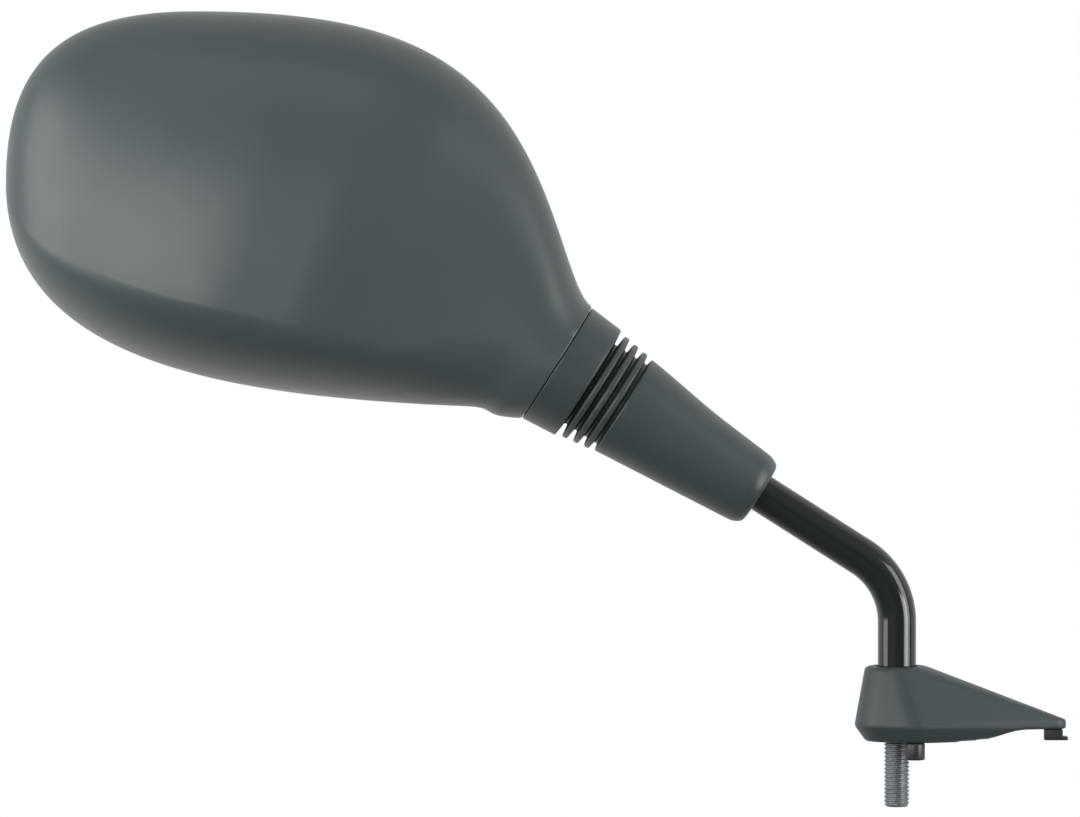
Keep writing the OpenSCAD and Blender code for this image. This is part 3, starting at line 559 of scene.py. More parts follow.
fineGrid, coarseGrid = (170, 180), (70, 90)     # sections and points around
headLengths = ["Seam Radius", "Rim Forward", "Waist Forward", "Back Depth"]
headShares = [
    "Back Blend", "Front Blend", "Tip Cap", "Tip Edge", "Ridge Blend", "Ridge Share",
    "Dome Power", "Keel Power", "Rim Power",
]
neckSizes = {
    "floor": 4.7, "noseRadius": 12.6, "noseReach": 8.2, "noseTip": 10.9, "noseTaper": -2, "noseEdge": 0.5,
    "seatRadius": 17.5, "seatStart": 7.2, "seatSlope": 0.4,
    "beadStart": 2.6, "beadHeight": 0.6, "beadWidth": 1.6, "bossRadius": 16.95,
    "socketRadius": 10.05, "boreRadius": 10.1, "boreStart": 0.4, "mouthRadius": 7.25, "mouthCone": 1.5,
    "screwOut": 14, "screwRadius": 1.77, "screwDepth": 9.5, "chamfer": 0.28, "chamferRise": 1.25,
    "chamferTop": 1.6, "chamferOut": 1.2, "chamferIn": 0.02, "chamferBelow": 0.1,
}


def edgeCurve(name, stations):
    # a Bezier edge of the head; each station is its place and its two handles, in the head's own plane
    curve, spline = newCurve(name, "BEZIER")
    curve.resolution_u = 64
    spline.bezier_points.add(len(stations) - 1)
    for point, (place, before, after) in zip(spline.bezier_points, stations):
        point.handle_left_type = point.handle_right_type = "FREE"
        point.co = Vector((place.x, 0, place.y)) * mm
        point.handle_left = Vector((before.x, 0, before.y)) * mm
        point.handle_right = Vector((after.x, 0, after.y)) * mm
    return added(name, curve)


def rotated(way, degrees):
    return Matrix.Rotation(radians(degrees), 2) @ way


neckWay = Vector((armWay.x, armWay.z))
neckSide = Vector((armSide.x, armSide.z))


def headEdges(inset):
    s = headSizes
    slope = radians(s["shoulderSlope"])
    start = neckWay * s["seamOut"] + neckSide * (s["seamRadius"] - inset)
    shoulder = Vector((-s["shoulderBack"], s["shoulderRise"])) - inset * Vector((sin(slope), cos(slope)))
    along = Vector((cos(slope), -sin(slope))) * s["shoulderPull"]
    crown = Vector((-s["crownBack"], s["crownRise"] - inset))
    tip = Vector((-(s["reach"] - inset), s["tipRise"]))
    upper = edgeCurve("upperEdge", [
        (start, start, start + s["neckPullUp"] * rotated(neckWay, -s["flareUp"])),
        (shoulder, shoulder + along, shoulder - along),
        (crown, crown + Vector((s["crownPullIn"], 0)), crown - Vector((s["crownPullOut"], 0))),
        (tip, tip + Vector((0, s["tipPullUp"])), tip),
    ])
    start = neckWay * s["seamOut"] - neckSide * (s["seamRadius"] - inset)
    belly = Vector((-s["bellyBack"], -s["bellyDrop"] + inset))
    slope = radians(s["bellySlope"])
    along = Vector((cos(slope), -sin(slope)))
    lower = edgeCurve("lowerEdge", [
        (start, start, start + s["neckPullDown"] * rotated(neckWay, s["flareDown"])),
        (belly, belly + s["bellyPullIn"] * along, belly - s["bellyPullOut"] * along),
        (tip, tip - Vector((0, s["tipPullDown"])), tip),
    ])
    return upper, lower


def buildHeadTree():
    # sections between the two edges: round at the neck, then a full back over a near-square rim
    tree, given = geometryTree(
        "headLoft", Object=["Upper Edge", "Lower Edge"], Int=["Sections", "Around"],
        Float=["Inset", "Start", "End"] + headLengths + headShares)
    grid = unitGrid(tree, given["Sections"], given["Around"])
    place = partsOf(tree, positionOf(tree))
    step = plus(tree, place["X"], 0.5)
    bunched = maths(tree, "SINE", times(tree, step, pi / 2))
    share = times(tree, plus(tree, step, bunched), 0.5)
    s = mapRange(tree, share, 0, 1, given["Start"], given["End"])
    angle = times(tree, plus(tree, place["Y"], 0.5), 2 * pi)

    def exact(value):   # the roots below would turn a rounding error of the sine into a step
        return times(tree, value, isBelow(tree, 1e-5, maths(tree, "ABSOLUTE", value)))

    c, v = exact(maths(tree, "COSINE", angle)), exact(maths(tree, "SINE", angle))
    onBack, onLower = isBelow(tree, v, 0), isBelow(tree, c, 0)
    ends = {}
    for edge in ("Upper Edge", "Lower Edge"):
        inputs = {"Curves": shapeOf(tree, given[edge]), "Factor": s}
        ends[edge] = addNode(tree, "GeometryNodeSampleCurve", inputs, mode="FACTOR").outputs["Position"]

    blends = [given[part + " Blend"] for part in ("Back", "Front", "Ridge")]
    backGrown, frontGrown, ridgeGrown = [mapRange(tree, s, 0, end, 0, 1, smooth=True) for end in blends]
    left = minus(tree, 1, s)

    def capped(span):   # falls off to nothing at the tip
        return maths(tree, "SINE", times(tree, maths(tree, "DIVIDE", left, span, clamp=True), pi / 2))

    waist = times(tree, given["Waist Forward"], frontGrown)
    fullBack = plus(tree, given["Back Depth"], given["Waist Forward"])
    back = mapRange(tree, backGrown, 0, 1, given["Seam Radius"], fullBack)
    back = minus(tree, times(tree, back, capped(given["Tip Cap"])), given["Inset"])
    fullFront = plus(tree, minus(tree, given["Rim Forward"], given["Waist Forward"]), 1 * mm)
    front = mapRange(tree, frontGrown, 0, 1, given["Seam Radius"], fullFront)
    front = minus(tree, times(tree, front, capped(given["Tip Edge"])), given["Inset"])
    backwards = times(tree, maths(tree, "MAXIMUM", back, 0), -1)
    depth = chooseValue(tree, onBack, maths(tree, "MAXIMUM", front, 0), backwards)

    fullPower = chooseValue(tree, onLower, given["Dome Power"], given["Keel Power"])
    backPower = mapRange(tree, ridgeGrown, 0, 1, 2, fullPower)
    frontPower = mapRange(tree, frontGrown, 0, 1, 2, given["Rim Power"])
    power = maths(tree, "DIVIDE", 2, chooseValue(tree, onBack, frontPower, backPower))
    across = maths(tree, "POWER", maths(tree, "ABSOLUTE", c), power)
    bulge = maths(tree, "POWER", maths(tree, "ABSOLUTE", v), power)

    ridge = chooseValue(tree, onBack, 0.5, mapRange(tree, ridgeGrown, 0, 1, 0.5, given["Ridge Share"]))
    chord = vectorMaths(tree, "SUBTRACT", ends["Lower Edge"], ends["Upper Edge"])
    centre = vectorMaths(tree, "ADD", ends["Upper Edge"], scaled(tree, chord, ridge))
    end = chooseValue(tree, onLower, ends["Upper Edge"], ends["Lower Edge"], "VECTOR")
    spot = vectorMaths(tree, "ADD", centre, scaled(tree, vectorMaths(tree, "SUBTRACT", end, centre), across))
    parts = partsOf(tree, spot)
    y = plus(tree, waist, times(tree, depth, bulge))
    y = maths(tree, "MINIMUM", y, minus(tree, given["Rim Forward"], given["Inset"]))
    endSurface(tree, given, grid, joined(tree, parts["X"], y, parts["Z"]), 0.01 * mm)
    return tree


headTree = buildHeadTree()


def headBody(name, inset, start, end, sections, around):
    upper, lower = headEdges(inset)
    made = grown(name, headTree, {
        "Upper Edge": upper, "Lower Edge": lower, "Sections": sections, "Around": around,
        "Inset": inset * mm, "Start": start, "End": end,
        **sizesFor(headLengths, headSizes, mm), **sizesFor(headShares, headSizes),
    })
    removed(upper, lower)
    return closeUp(made, 0.01 * mm)


def frontOutline(nodeName, count):
    # the outline of a CAD sheet as seen from +Y, as an even ring of (x, z) points
    work = opened(nodes[nodeName], 0.005 * mm)
    front = {f for f in work.faces if f.normal.y > 0.7}
    links = {}
    for edge in work.edges:
        if len([f for f in edge.link_faces if f in front]) == 1:
            a, b = edge.verts
            links.setdefault(a, []).append(b)
            links.setdefault(b, []).append(a)
    first = max(links, key=lambda vert: vert.co.x)
    ring, before, here = [], None, first
    while here is not first or not ring:
        ring.append(Vector((here.co.x, here.co.z)))
        options = [v for v in links[here] if v is not before]
        before, here = here, options[0]
    work.free()
    if sum(a.x * b.y - b.x * a.y for a, b in zip(ring, ring[1:] + ring[:1])) < 0:
        ring.reverse()
    lengths = [0]
    for a, b in zip(ring, ring[1:] + ring[:1]):
        lengths.append(lengths[-1] + (b - a).length)
    even, k = [], 0
    closed = ring + ring[:1]
    for i in range(count):
        want = lengths[-1] * i / count
        while lengths[k + 1] < want:
            k += 1
        t = (want - lengths[k]) / (lengths[k + 1] - lengths[k])
        even.append(closed[k].lerp(closed[k + 1], t))
    for _ in range(3):   # evens out the facets of the CAD outline
        even = [(even[i - 1] + 2 * even[i] + even[(i + 1) % count]) / 4 for i in range(count)]
    return even


def widened(ring, distance):
    # the ring runs anticlockwise in (x, z), so its outer side is on the right of its way
    count = len(ring)
    ways = [(ring[(i + 1) % count] - ring[i - 1]).normalized() for i in range(count)]
    return [point + Vector((way.y, -way.x)) * distance for point, way in zip(ring, ways)]


def ringFaces(count, rings, first=0):
    # the faces between rings of points that follow each other
    starts = [first + k * count for k in range(rings - 1)]
    turns = [(i, (i + 1) % count) for i in range(count)]
    return [(a + i, a + j, a + count + j, a + count + i) for a in starts for i, j in turns]


def stackedRings(name, rings):
    # rings of (outline, y) from the front to the back, closed with flat ends
    count = len(rings[0][0])
    points = [(p.x, y, p.y) for outline, y in rings for p in outline]
    faces = [tuple(range(count)), tuple(range(len(points) - count, len(points)))]
    return closeUp(meshObject(name, points, faces + ringFaces(count, len(rings))))


glassRing = frontOutline("mirror_glass", 256)
glassSizes = {
    "gap": 0.5, "thick": 2, "curve": 1200, "crown": 0.4, "groundEdge": 0.5, "groundDepth": 0.4, "rings": 28,
    "lip": 0.9, "lipSteps": 5, "beyondLip": 0.4, "mouthDepth": 6.6,
}


def islandBoxes(thing):
    # the lowest and highest corner of each loose piece of a node
    work = opened(thing, 0.002 * mm)
    left, boxes = set(work.verts), []
    while left:
        group = [left.pop()]
        for vert in group:     # the group grows while it is walked
            near = {other for edge in vert.link_edges for other in edge.verts} & left
            left -= near
            group += near
        boxes.append([Vector([end(v.co[axis] for v in group) for axis in range(3)]) for end in (min, max)])
    work.free()
    return sorted(boxes, key=lambda box: tuple(box[0]))     # in the same order each run


postSizes = {
    "radius": 4, "intoWall": 1.1, "foot": 12, "holeRadius": 1.52, "pastScrew": 0.6, "besideScrew": 2.6,
    "clearOfCarrier": 0.02,
}


def addPosts(housing):
    # the three posts that carry the glass, from the back wall to the carrier, each with its screw's hole
    s = postSizes
    forward = Matrix.Rotation(radians(-90), 4, "X")     # turns a profile's Z to +Y
    # the posts end in the middle of the wall
    limit = headBody("postLimit", s["intoWall"], headSizes["postStart"], headSizes["cavityEnd"], *coarseGrid)
    placed(limit, headFrame)
    for low, high in islandBoxes(nodes["carrier_screws"]):
        middle = (low + high) / 2
        start = Vector((middle.x, 0, middle.z))
        wall = housing.ray_cast(start, Vector((0, -1, 0)))[1].y / mm
        beside = start + Vector((s["besideScrew"] * mm, 0, 0))
        carrier = nodes["glass_carrier"].ray_cast(beside, Vector((0, 1, 0)))[1].y / mm
        spot = Matrix.Translation(start) @ forward
        post = roundRod("post", s["radius"], wall - s["foot"], carrier - s["clearOfCarrier"], 48)
        combined(placed(post, spot), limit, "INTERSECT", keepOther=True)
        combined(housing, post, "UNION")
        hole = roundRod("postHole", s["holeRadius"], low.y / mm - s["pastScrew"], carrier + 1, 32)
        combined(housing, placed(hole, spot), "DIFFERENCE")
    removed(limit)


def makeHousing():
    s, n = headSizes, neckSizes
    housing = headBody("headHousing", 0, 0, 1, *fineGrid)
    start = s["cavityStart"] / s["edgeLength"]
    hollow = headBody("headHollow", s["wall"], start, s["cavityEnd"], *coarseGrid)
    combined(housing, hollow, "DIFFERENCE")
    placed(housing, headFrame)

    rim, lip, steps = s["rimForward"] * mm, glassSizes["lip"] * mm, glassSizes["lipSteps"]
    mouth = widened(glassRing, glassSizes["gap"] * mm)
    beyond = glassSizes["beyondLip"]
    rings = [(widened(mouth, lip * (1 + beyond)), rim + lip * beyond)]
    for k in range(steps + 1):   # the lip rounds over into the rim
        angle = pi / 2 * k / steps
        rings.append((widened(mouth, lip * (1 - sin(angle))), rim - lip * (1 - cos(angle))))
    rings.append((mouth, rim - glassSizes["mouthDepth"] * mm))
    combined(housing, stackedRings("glassMouth", rings), "DIFFERENCE")

    nose, seat, bead = n["noseRadius"], n["seatRadius"], n["seatStart"] + n["beadStart"]
    noseEnd, noseEdge, beadTop = -n["noseReach"], n["noseEdge"], seat + n["beadHeight"]
    seam, floor = s["seamOut"], s["seamOut"] + n["floor"]
    neck = turnedPiece("neckCore", [
        (0, noseEnd), (n["noseTip"] - noseEdge, noseEnd), (n["noseTip"], noseEnd + noseEdge),
        (nose, n["noseTaper"]), (nose, n["seatStart"] - n["seatSlope"]),
        (seat, n["seatStart"]), (seat, bead), (beadTop, bead + n["beadWidth"] / 4),
        (beadTop, bead + n["beadWidth"] * 3 / 4), (seat, bead + n["beadWidth"]), (seat, seam + 1),
        (n["bossRadius"], seam + 1), (n["bossRadius"], floor), (0, floor),
    ])
    combined(housing, placed(neck, neckFrame), "UNION")
    chamfer, radius, low = n["chamfer"], s["seamRadius"], seam - n["chamferBelow"]
    edge = turnedPiece("seamChamfer", [
        (radius - chamfer, low), (radius + n["chamferOut"], low),
        (radius + n["chamferOut"], seam + chamfer * n["chamferTop"]),
        (radius + n["chamferIn"], seam + chamfer * n["chamferRise"]), (radius - chamfer, low),
    ])
    combined(housing, placed(edge, neckFrame), "DIFFERENCE")
    bore, sphere = n["boreRadius"], n["socketRadius"]
    coneRadius = n["mouthRadius"] + n["mouthCone"]
    coneSum = coneRadius - n["noseReach"]     # radius plus height, the same all along the mouth's cone
    mouthRadius = (coneSum + sqrt(2 * sphere ** 2 - coneSum ** 2)) / 2
    socket = [(0, noseEnd - 1), (coneRadius, noseEnd - 1), (coneRadius, noseEnd)]
    socket += arc(sphere, -acos(mouthRadius / sphere), 0, 24)
    socket += [(bore, n["boreStart"]), (bore, floor + 1), (0, floor + 1)]
    combined(housing, placed(turnedPiece("ballSocket", socket), neckFrame), "DIFFERENCE")
    for side in (-1, 1):
        hole = roundRod("screwHole", n["screwRadius"], floor - n["screwDepth"], floor + 1, 32)
        placed(hole, Matrix.Translation((side * n["screwOut"] * mm, 0, 0)))
        combined(housing, placed(hole, neckFrame), "DIFFERENCE")
    addPosts(housing)
    tidied(housing)
    dressed(housing, 32, housingPlastic, "head", "housing_shell")
    keptInBox(housing)
    print("housing", len(housing.data.polygons), "faces")


makeHousing()


def makeGlass():
    s = glassSizes
    front = (headSizes["rimForward"] + s["crown"]) * mm
    centre = Vector((
        ballCentre.x - (headSizes["reach"] + headSizes["bellyBack"]) / 2 * mm,
        ballCentre.z + (headSizes["crownRise"] - headSizes["bellyDrop"]) / 2 * mm,
    ))
    radius = s["curve"] * mm

    def onGlass(point, depth=0):
        drop = radius - sqrt(radius ** 2 - (point - centre).length_squared)
        return point.x, front - drop - depth, point.y

    thick = s["thick"] * mm
    inner = widened(glassRing, -s["groundEdge"] * mm)
    middle = sum(glassRing, Vector((0, 0))) / len(glassRing)
    count, rings = len(glassRing), s["rings"]
    points = [onGlass(middle)]
    for k in range(1, rings + 1):
        points += [onGlass(middle.lerp(p, k / rings)) for p in inner]
    points += [onGlass(p, s["groundDepth"] * mm) for p in glassRing]
    points += [onGlass(p, thick) for p in glassRing]
    for k in range(rings - 1, 0, -1):
        points += [onGlass(middle.lerp(p, k / rings), thick) for p in glassRing]
    points.append(onGlass(middle, thick))
    total = 2 * rings + 1
    faces = [(0, 1 + i, 1 + (i + 1) % count) for i in range(count)]
    faces += ringFaces(count, total, 1)
    last = 1 + (total - 1) * count
    faces += [(last + i, last + (i + 1) % count, len(points) - 1) for i in range(count)]
    glass = closeUp(meshObject("mirrorGlass", points, faces))
    dressed(glass, 25, mirrorSilver, "head", "mirror_glass")
    keptInBox(glass)


makeGlass()
print("glass ready")


# Boot: a collar on the head, ribs over the ball joint, and a sleeve down the arm

bootSizes = {
    "sleeveReach": 57.6, "tailRadius": 12.3, "sleeveRadius": 16.7, "tailRound": 3, "tailEnd": 1.65,
    "gripLength": 9.5, "tubeRadius": 6.02, "bellowsStart": 6.7, "grooveWidth": 1.75, "ribWidth": 1.9,
    "firstRib": 17.3, "ribGrowth": 0.55, "ribDraft": 0.1, "grooves": 4, "valley": 14.5,
    "valleyFrom": 0.22, "valleyTo": 0.78, "collarRadius": 19.3, "collarStart": 0.15,
    "collarEnd": 20.3, "seamGap": 0.25, "inside": 13.3, "onSeat": 17.55,
    "clearance": 0.05, "sleeveWall": 1.8, "tailWall": 3.4,
    "flatStart": 7, "flatRun": 30, "flatShare": 0.08, "flatBeyond": 8, "longest": 1.2,
}


def bootOutside():
    # outer line from the sleeve's end to the seam, with the corners' own radii as a third value
    b = bootSizes
    end, start, groove = -b["sleeveReach"], -b["bellowsStart"], b["grooveWidth"]
    line = [
        (b["tubeRadius"], end, 0), (b["tailRadius"] - b["tailEnd"], end, 1.6),
        (b["tailRadius"], end + b["tailRound"], 1.8), (b["sleeveRadius"], start - 0.1, 0.5),
    ]
    step = groove + b["ribWidth"]
    for i in range(b["grooves"]):
        w = start + i * step
        line += [(b["valley"], w + groove * share, 0.4) for share in (b["valleyFrom"], b["valleyTo"])]
        after = b["firstRib"] + i * b["ribGrowth"]
        if i < b["grooves"] - 1:
            line += [(after, w + groove + b["ribDraft"], 0.6), (after, w + step - b["ribDraft"], 0.6)]
        else:
            line += [(b["collarRadius"], w + groove + b["collarStart"], 0.6)]
    return line + [(b["collarEnd"], headSizes["seamOut"] - b["seamGap"], 0.5)]


def bootInside():
    # inner line from the seam back to the tube
    b, n = bootSizes, neckSizes
    seam, bead, width = headSizes["seamOut"] - b["seamGap"], n["seatStart"] + n["beadStart"], n["beadWidth"]
    seat, clear, grip = b["onSeat"], b["clearance"], -b["sleeveReach"] + b["gripLength"]
    line = [
        (seat, seam), (seat, bead + width + clear), (seat + n["beadHeight"], bead + width * 0.75 + clear),
        (seat + n["beadHeight"], bead + width / 4 - clear), (seat, bead - clear),
        (seat, n["seatStart"] - 0.2), (b["inside"], n["seatStart"] - 0.8), (b["inside"], -b["bellowsStart"]),
        (b["sleeveRadius"] - b["sleeveWall"], -b["bellowsStart"] - 1.2),
        (b["tailRadius"] - b["tailWall"], grip + 3), (b["tubeRadius"], grip),
    ]
    return [(*place, 0) for place in line]


def dividedLine(points, longest):
    made = []
    for a, b in zip(points, points[1:] + points[:1]):
        a, b = Vector(a), Vector(b)
        parts = max(1, int((b - a).length / longest))
        made += [tuple(a.lerp(b, k / parts)) for k in range(parts)]
    return made


def clippedLine(points, height, keepBelow):
    # keeps one side of a closed outline at a given height
    kept = []
    for a, b in zip(points, points[1:] + points[:1]):
        inA = a[1] <= height if keepBelow else a[1] >= height
        inB = b[1] <= height if keepBelow else b[1] >= height
        if inA:
            kept.append(a)
        if inA != inB:
            t = (height - a[1]) / (b[1] - a[1])
            kept.append((a[0] + (b[0] - a[0]) * t, height))
    return kept


def flattenTop(piece):
    # the sleeve is a little flatter along its upper side than below
    b = bootSizes
    for vertex in piece.data.vertices:
        place = vertex.co / mm
        if place.x > 0 and Vector(place[:2]).length > b["flatBeyond"]:
            t = min(max((-b["flatStart"] - place.z) / b["flatRun"], 0), 1)
            vertex.co.x *= 1 - b["flatShare"] * t * t * (3 - 2 * t)


def makeBoot():
    b = bootSizes
    outline = softened(bootOutside() + bootInside())
    step = b["grooveWidth"] + b["ribWidth"]
    splitAt = -b["bellowsStart"] + 1.5 * step + b["grooveWidth"] / 2   # through the middle rib
    made = {}
    for name, below in {"bootSleeve": True, "bootCollar": False}.items():
        line = dividedLine(clippedLine(outline, splitAt, below), b["longest"])
        made[name] = turnedPiece(name, line + line[:1], 144)
        flattenTop(made[name])
        dressed(placed(made[name], neckFrame), 40, bootRubber)
    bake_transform(made["bootSleeve"])
    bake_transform(made["bootCollar"])
    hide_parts("rubber_boot")


makeBoot()
print("boot ready")


# Stem: a swept tube, and the stud with its rolled thread

stemSizes = {
    "radius": 6, "wall": 1.5, "foot": 10.6, "bendHeight": 50.3, "bendRadius": 24, "standoff": 13,
    "bendSteps": 56, "around": 96,
}


def buildTubeTree():
    tree, given = geometryTree("sweptTube", Object=["Path"], Float=["Radius"], Int=["Around"])
    path = shapeOf(tree, given["Path"])
    inputs = {"Resolution": given["Around"], "Radius": given["Radius"]}
    ring = addNode(tree, "GeometryNodeCurvePrimitiveCircle", inputs).outputs["Curve"]
    swept = addNode(tree, "GeometryNodeCurveToMesh", {"Curve": path, "Profile Curve": ring})
    endTree(tree, given, swept.outputs[0])
    return tree


def makeTube():
    s = stemSizes
    turn = Vector((0, 0, 1)).angle(armWay)
    tangent = s["bendRadius"] * tan(turn / 2)
    start = s["bendHeight"] - tangent
    path = [Vector((0, 0, s["foot"]))]
    for k in range(s["bendSteps"] + 1):
        angle = turn * k / s["bendSteps"]
        path.append(Vector((-s["bendRadius"] * (1 - cos(angle)), 0, start + s["bendRadius"] * sin(angle))))
    path.append(ballCentre / mm - armWay * s["standoff"])
    curve, spline = newCurve("stemPath", "POLY")
    spline.points.add(len(path) - 1)
    for point, place in zip(spline.points, path):
        point.co = (*(place * mm), 1)
    line = added("stemPath", curve)
    values = {"Path": line, "Radius": s["radius"] * mm, "Around": s["around"]}
    tube = grown("stemTube", buildTubeTree(), values)
    removed(line)
    work = opened(tube)
    bmesh.ops.recalc_face_normals(work, faces=work.faces)
    far = max(work.faces, key=lambda f: f.calc_center_median().x)
    if far.normal.x < 0:
        bmesh.ops.reverse_faces(work, faces=work.faces)
    stored(work, tube)
    modify(tube, "SOLIDIFY", thickness=s["wall"] * mm, offset=-1)
    bakeModifiers(tube)
    dressed(tube, 40, blackPaint, "stem", "stem_tube")


studSizes = {
    "radius": 3.98, "depth": 0.5, "pitch": 1.25, "low": -20.6, "threadTop": 10.2, "high": 26.6,
    "seatRadius": 4.48, "chamfer": 0.8, "rows": 620, "around": 64,
}
studLengths = ["Radius", "Depth", "Pitch", "Low", "High", "Thread Top", "Seat Radius", "Chamfer"]


def buildThreadTree():
    # a rod whose radius rises and falls with height and angle, so that the ridge climbs once a turn
    tree, given = geometryTree("threadedRod", Int=["Rows", "Around"], Float=studLengths)
    grid = unitGrid(tree, given["Rows"], given["Around"])
    place = partsOf(tree, positionOf(tree))
    z = mapRange(tree, place["X"], -0.5, 0.5, given["Low"], given["High"])
    turn = plus(tree, place["Y"], 0.5)
    climb = minus(tree, maths(tree, "DIVIDE", z, given["Pitch"]), turn)
    saw = minus(tree, maths(tree, "FRACT", climb), 0.5)
    ridge = times(tree, maths(tree, "ABSOLUTE", saw), 2)
    ridge = mapRange(tree, ridge, 0.12, 0.85, 0, 1)
    thread = minus(tree, given["Radius"], times(tree, given["Depth"], ridge))
    fromEnd = minus(tree, z, given["Low"])
    cone = plus(tree, minus(tree, given["Radius"], given["Chamfer"]), fromEnd)
    thread = maths(tree, "MINIMUM", thread, cone)
    inTube = isBelow(tree, given["Thread Top"], z)
    radius = chooseValue(tree, inTube, thread, given["Seat Radius"])
    angle = times(tree, turn, 2 * pi)
    endSurface(tree, given, grid, turnedPoint(tree, radius, angle, z), 0.001 * mm)
    return tree


def makeStud():
    s = studSizes
    values = {"Rows": s["rows"], "Around": s["around"], **sizesFor(studLengths, s, mm)}
    stud = closeUp(grown("threadedStud", buildThreadTree(), values), 0.001 * mm)
    dressed(stud, 50, zincStud, "stem", "threaded_stud")


makeTube()
makeStud()
print("stem ready")


# Base cover and its fittings, from the CAD solids with softened edges

coverSizes = {"voxel": 0.45, "smoothing": 8}
fittingSizes = {"flatAngle": 1, "bevelSteps": 3, "bevelFrom": 35}


def mergedCopy(nodeName, name):
    return closeUp(added(name, nodes[nodeName].data.copy()), 0.002 * mm)


def makeCover():
    cover = mergedCopy("base_cover", "baseCover")
    modify(cover, "REMESH", mode="VOXEL", voxel_size=coverSizes["voxel"] * mm)
    modify(cover, "SMOOTH", factor=0.5, iterations=coverSizes["smoothing"])
    bakeModifiers(cover)
    closeUp(cover, 0.001 * mm)
    dressed(cover, 60, coverPlastic, "cover", "base_cover")
    keptInBox(cover)


def makeFitting(nodeName, name, bevelWidth):
    s = fittingSizes
    piece = mergedCopy(nodeName, name)
    modify(piece, "DECIMATE", decimate_type="DISSOLVE", angle_limit=radians(s["flatAngle"]))
    limit = {"limit_method": "ANGLE", "angle_limit": radians(s["bevelFrom"])}
    modify(piece, "BEVEL", width=bevelWidth * mm, segments=s["bevelSteps"], **limit)
    bakeModifiers(piece)
    dressed(piece, 30, blackPlastic, "cover", nodeName)


makeCover()
makeFitting("locating_peg", "locatingPeg", 0.5)
makeFitting("tip_hook", "tipHook", 0.35)
print("cover ready")


# Finishes of the solids that stay as they are

keptFinishes = {
    "glass_pad": foamPad, "glass_carrier": carrierPlastic, "carrier_screws": zincScrew,
    "clamp_plate": zincPlate, "clamp_screws": zincScrew, "disc_springs": springSteel,
    "pressure_cap": bearingPlastic, "upper_ball_cup": bearingPlastic, "lower_ball_cup": bearingPlastic,
    "ball_stud": brightSteel, "lock_nut": zincScrew, "spring_washer": springSteel,
    "plain_washer": zincPlate, "cover_bush": bushRubber,
}
for nodeName, material in keptFinishes.items():
    painted(nodes[nodeName], material)


# Studio: a pale floor under the mirror, five soft boxes, and a camera almost square to the back of the head

viewSizes = {
    "widthOfView": 336.3, "centre": (-111.25, 0, 103.6), "distance": 2500, "elevation": 2,
    "floorDrop": 60, "floorReach": 30000,
}
headMiddle = (-0.19, 0, 0.165)
softBoxes = {   # place, target, width and height in metres, power in watts
    "leftBox": ((-1.1, -0.3, 0.2), headMiddle, 0.6, 1.0, 8),
    "bandBox": ((-1.1, -1.7, 0.42), headMiddle, 1.5, 0.6, 19),
    "rightBox": ((1.0, -0.42, 0.25), (0, 0, 0.05), 0.5, 1.0, 7.5),
    "footBox": ((0.4, -0.3, 0.04), (0.03, 0, 0.01), 0.2, 0.2, 0.9),
    "topBox": ((-0.25, -0.75, 1.35), headMiddle, 1.3, 0.6, 2),
}


def pointedAt(thing, target):
    way = Vector(target) - thing.location
    thing.rotation_euler = way.to_track_quat("-Z", "Y").to_euler()


def makeCamera():
    s = viewSizes
    camera = bpy.data.cameras.new("camera")
    camera.sensor_width = 36
    camera.lens = camera.sensor_width * s["distance"] / s["widthOfView"]
    camera.clip_end = 50
    made = added("camera", camera)
    centre = Vector(s["centre"]) * mm
    rise = radians(s["elevation"])
    made.location = centre + Vector((0, -cos(rise), sin(rise))) * s["distance"] * mm
    pointedAt(made, centre)
    bpy.context.scene.camera = made


def makeSoftBox(name, place, target, width, height, power):
    sizes = {"shape": "RECTANGLE", "size": width, "size_y": height, "energy": power}
    made = added(name, withSettings(bpy.data.lights.new(name, "AREA"), sizes))
    made.location = place
    pointedAt(made, target)


def raysOf(tree):
    # rays from the camera, and rays that a mirror or a gloss sends on
    path = addNode(tree, "ShaderNodeLightPath").outputs
    return path["Is Camera Ray"], maths(tree, "MAXIMUM", path["Is Glossy Ray"], path["Is Transmission Ray"])


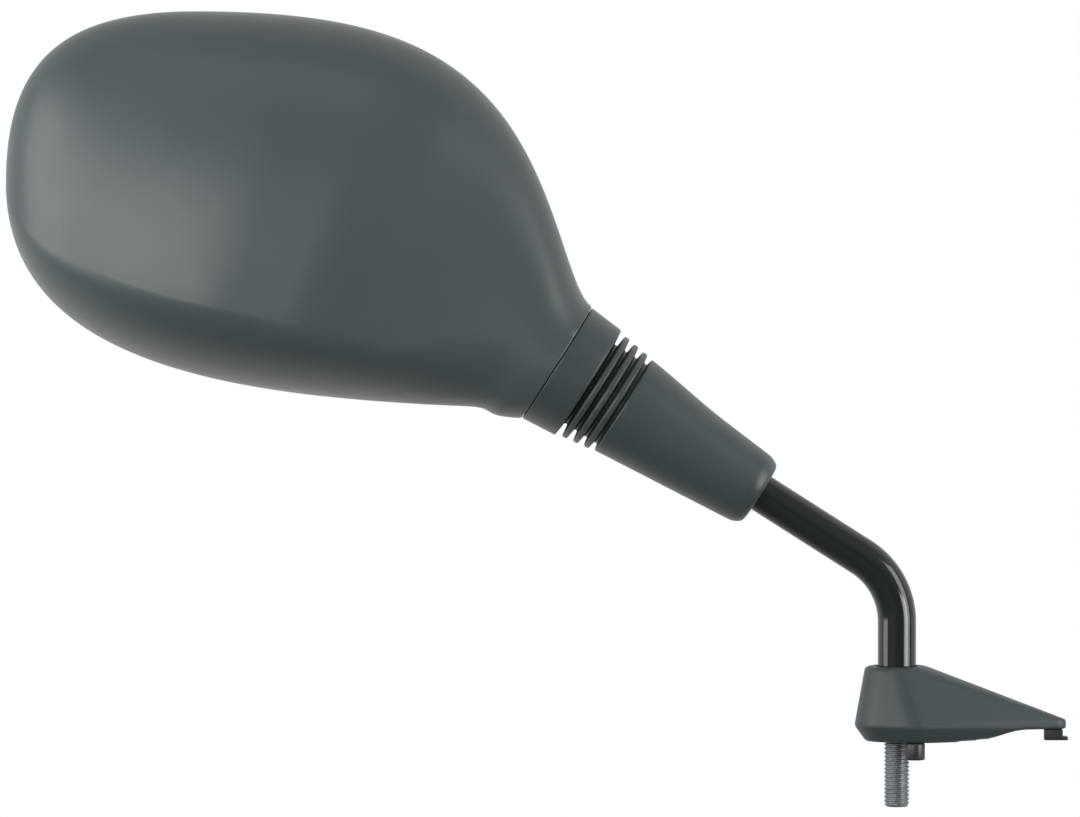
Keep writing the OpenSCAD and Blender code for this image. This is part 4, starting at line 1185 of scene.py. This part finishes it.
def makeWorld():
    world = bpy.data.worlds.new("studio")
    bpy.context.scene.world = world
    tree = emptyTree(world)
    direct, mirrored = raysOf(tree)
    way = partsOf(tree, addNode(tree, "ShaderNodeTexCoord").outputs["Generated"])
    # mirrored rays see a white backdrop and a dim room
    behind = mapRange(tree, way["Y"], -0.25, 0.35, 0.1, 1, smooth=True)
    above = mapRange(tree, way["Z"], -0.2, 0.6, 0, 0.35, smooth=True)
    room = maths(tree, "MINIMUM", plus(tree, behind, above), 1)
    soft = mapRange(tree, way["Z"], -0.8, 0.8, 0.1, 0.22)
    level = firstOf(tree, "ShaderNodeMix", {0: mirrored, 2: soft, 3: room}, data_type="FLOAT")
    strength = maths(tree, "MAXIMUM", level, direct)
    shader = firstOf(tree, "ShaderNodeBackground", {"Color": (1, 1, 1, 1), "Strength": strength})
    addNode(tree, "ShaderNodeOutputWorld", {"Surface": shader})


def makeFloor():
    low = cadBox[0].z - viewSizes["floorDrop"] * mm
    reach = viewSizes["floorReach"] * mm
    corners = [(-reach, -reach, low), (reach, -reach, low), (reach, reach, low), (-reach, reach, low)]
    floor = meshObject("floor", corners, [(0, 1, 2, 3)])
    material = bpy.data.materials.new("paleFloor")
    tree = emptyTree(material)
    matt = addNode(tree, "ShaderNodeBsdfDiffuse", {"Color": (0.24, 0.245, 0.245, 1)})
    white = addNode(tree, "ShaderNodeEmission", {"Color": (1, 1, 1, 1), "Strength": 1})
    spot = stretched(tree, addNode(tree, "ShaderNodeTexCoord").outputs["Object"], 0)
    away = addNode(tree, "ShaderNodeVectorMath", {0: spot}, operation="LENGTH").outputs["Value"]
    # the floor fades into the white backdrop
    whiter = mapRange(tree, away, 0.15, 0.55, 0.78, 1, smooth=True)
    behind = mapRange(tree, partsOf(tree, spot)["Y"], -0.08, 0.16, 0.1, 1, smooth=True)
    direct, mirrored = raysOf(tree)
    seen = maths(tree, "MAXIMUM", direct, times(tree, mirrored, behind))
    share = times(tree, whiter, seen)
    mixed = addNode(tree, "ShaderNodeMixShader", {0: share, 1: matt.outputs[0], 2: white.outputs[0]})
    addNode(tree, "ShaderNodeOutputMaterial", {"Surface": mixed.outputs[0]})
    floor.data.materials.append(material)


makeCamera()
makeWorld()
makeFloor()
for name, values in softBoxes.items():
    makeSoftBox(name, *values)
bpy.context.scene.view_settings.view_transform = "Standard"
print("studio ready")
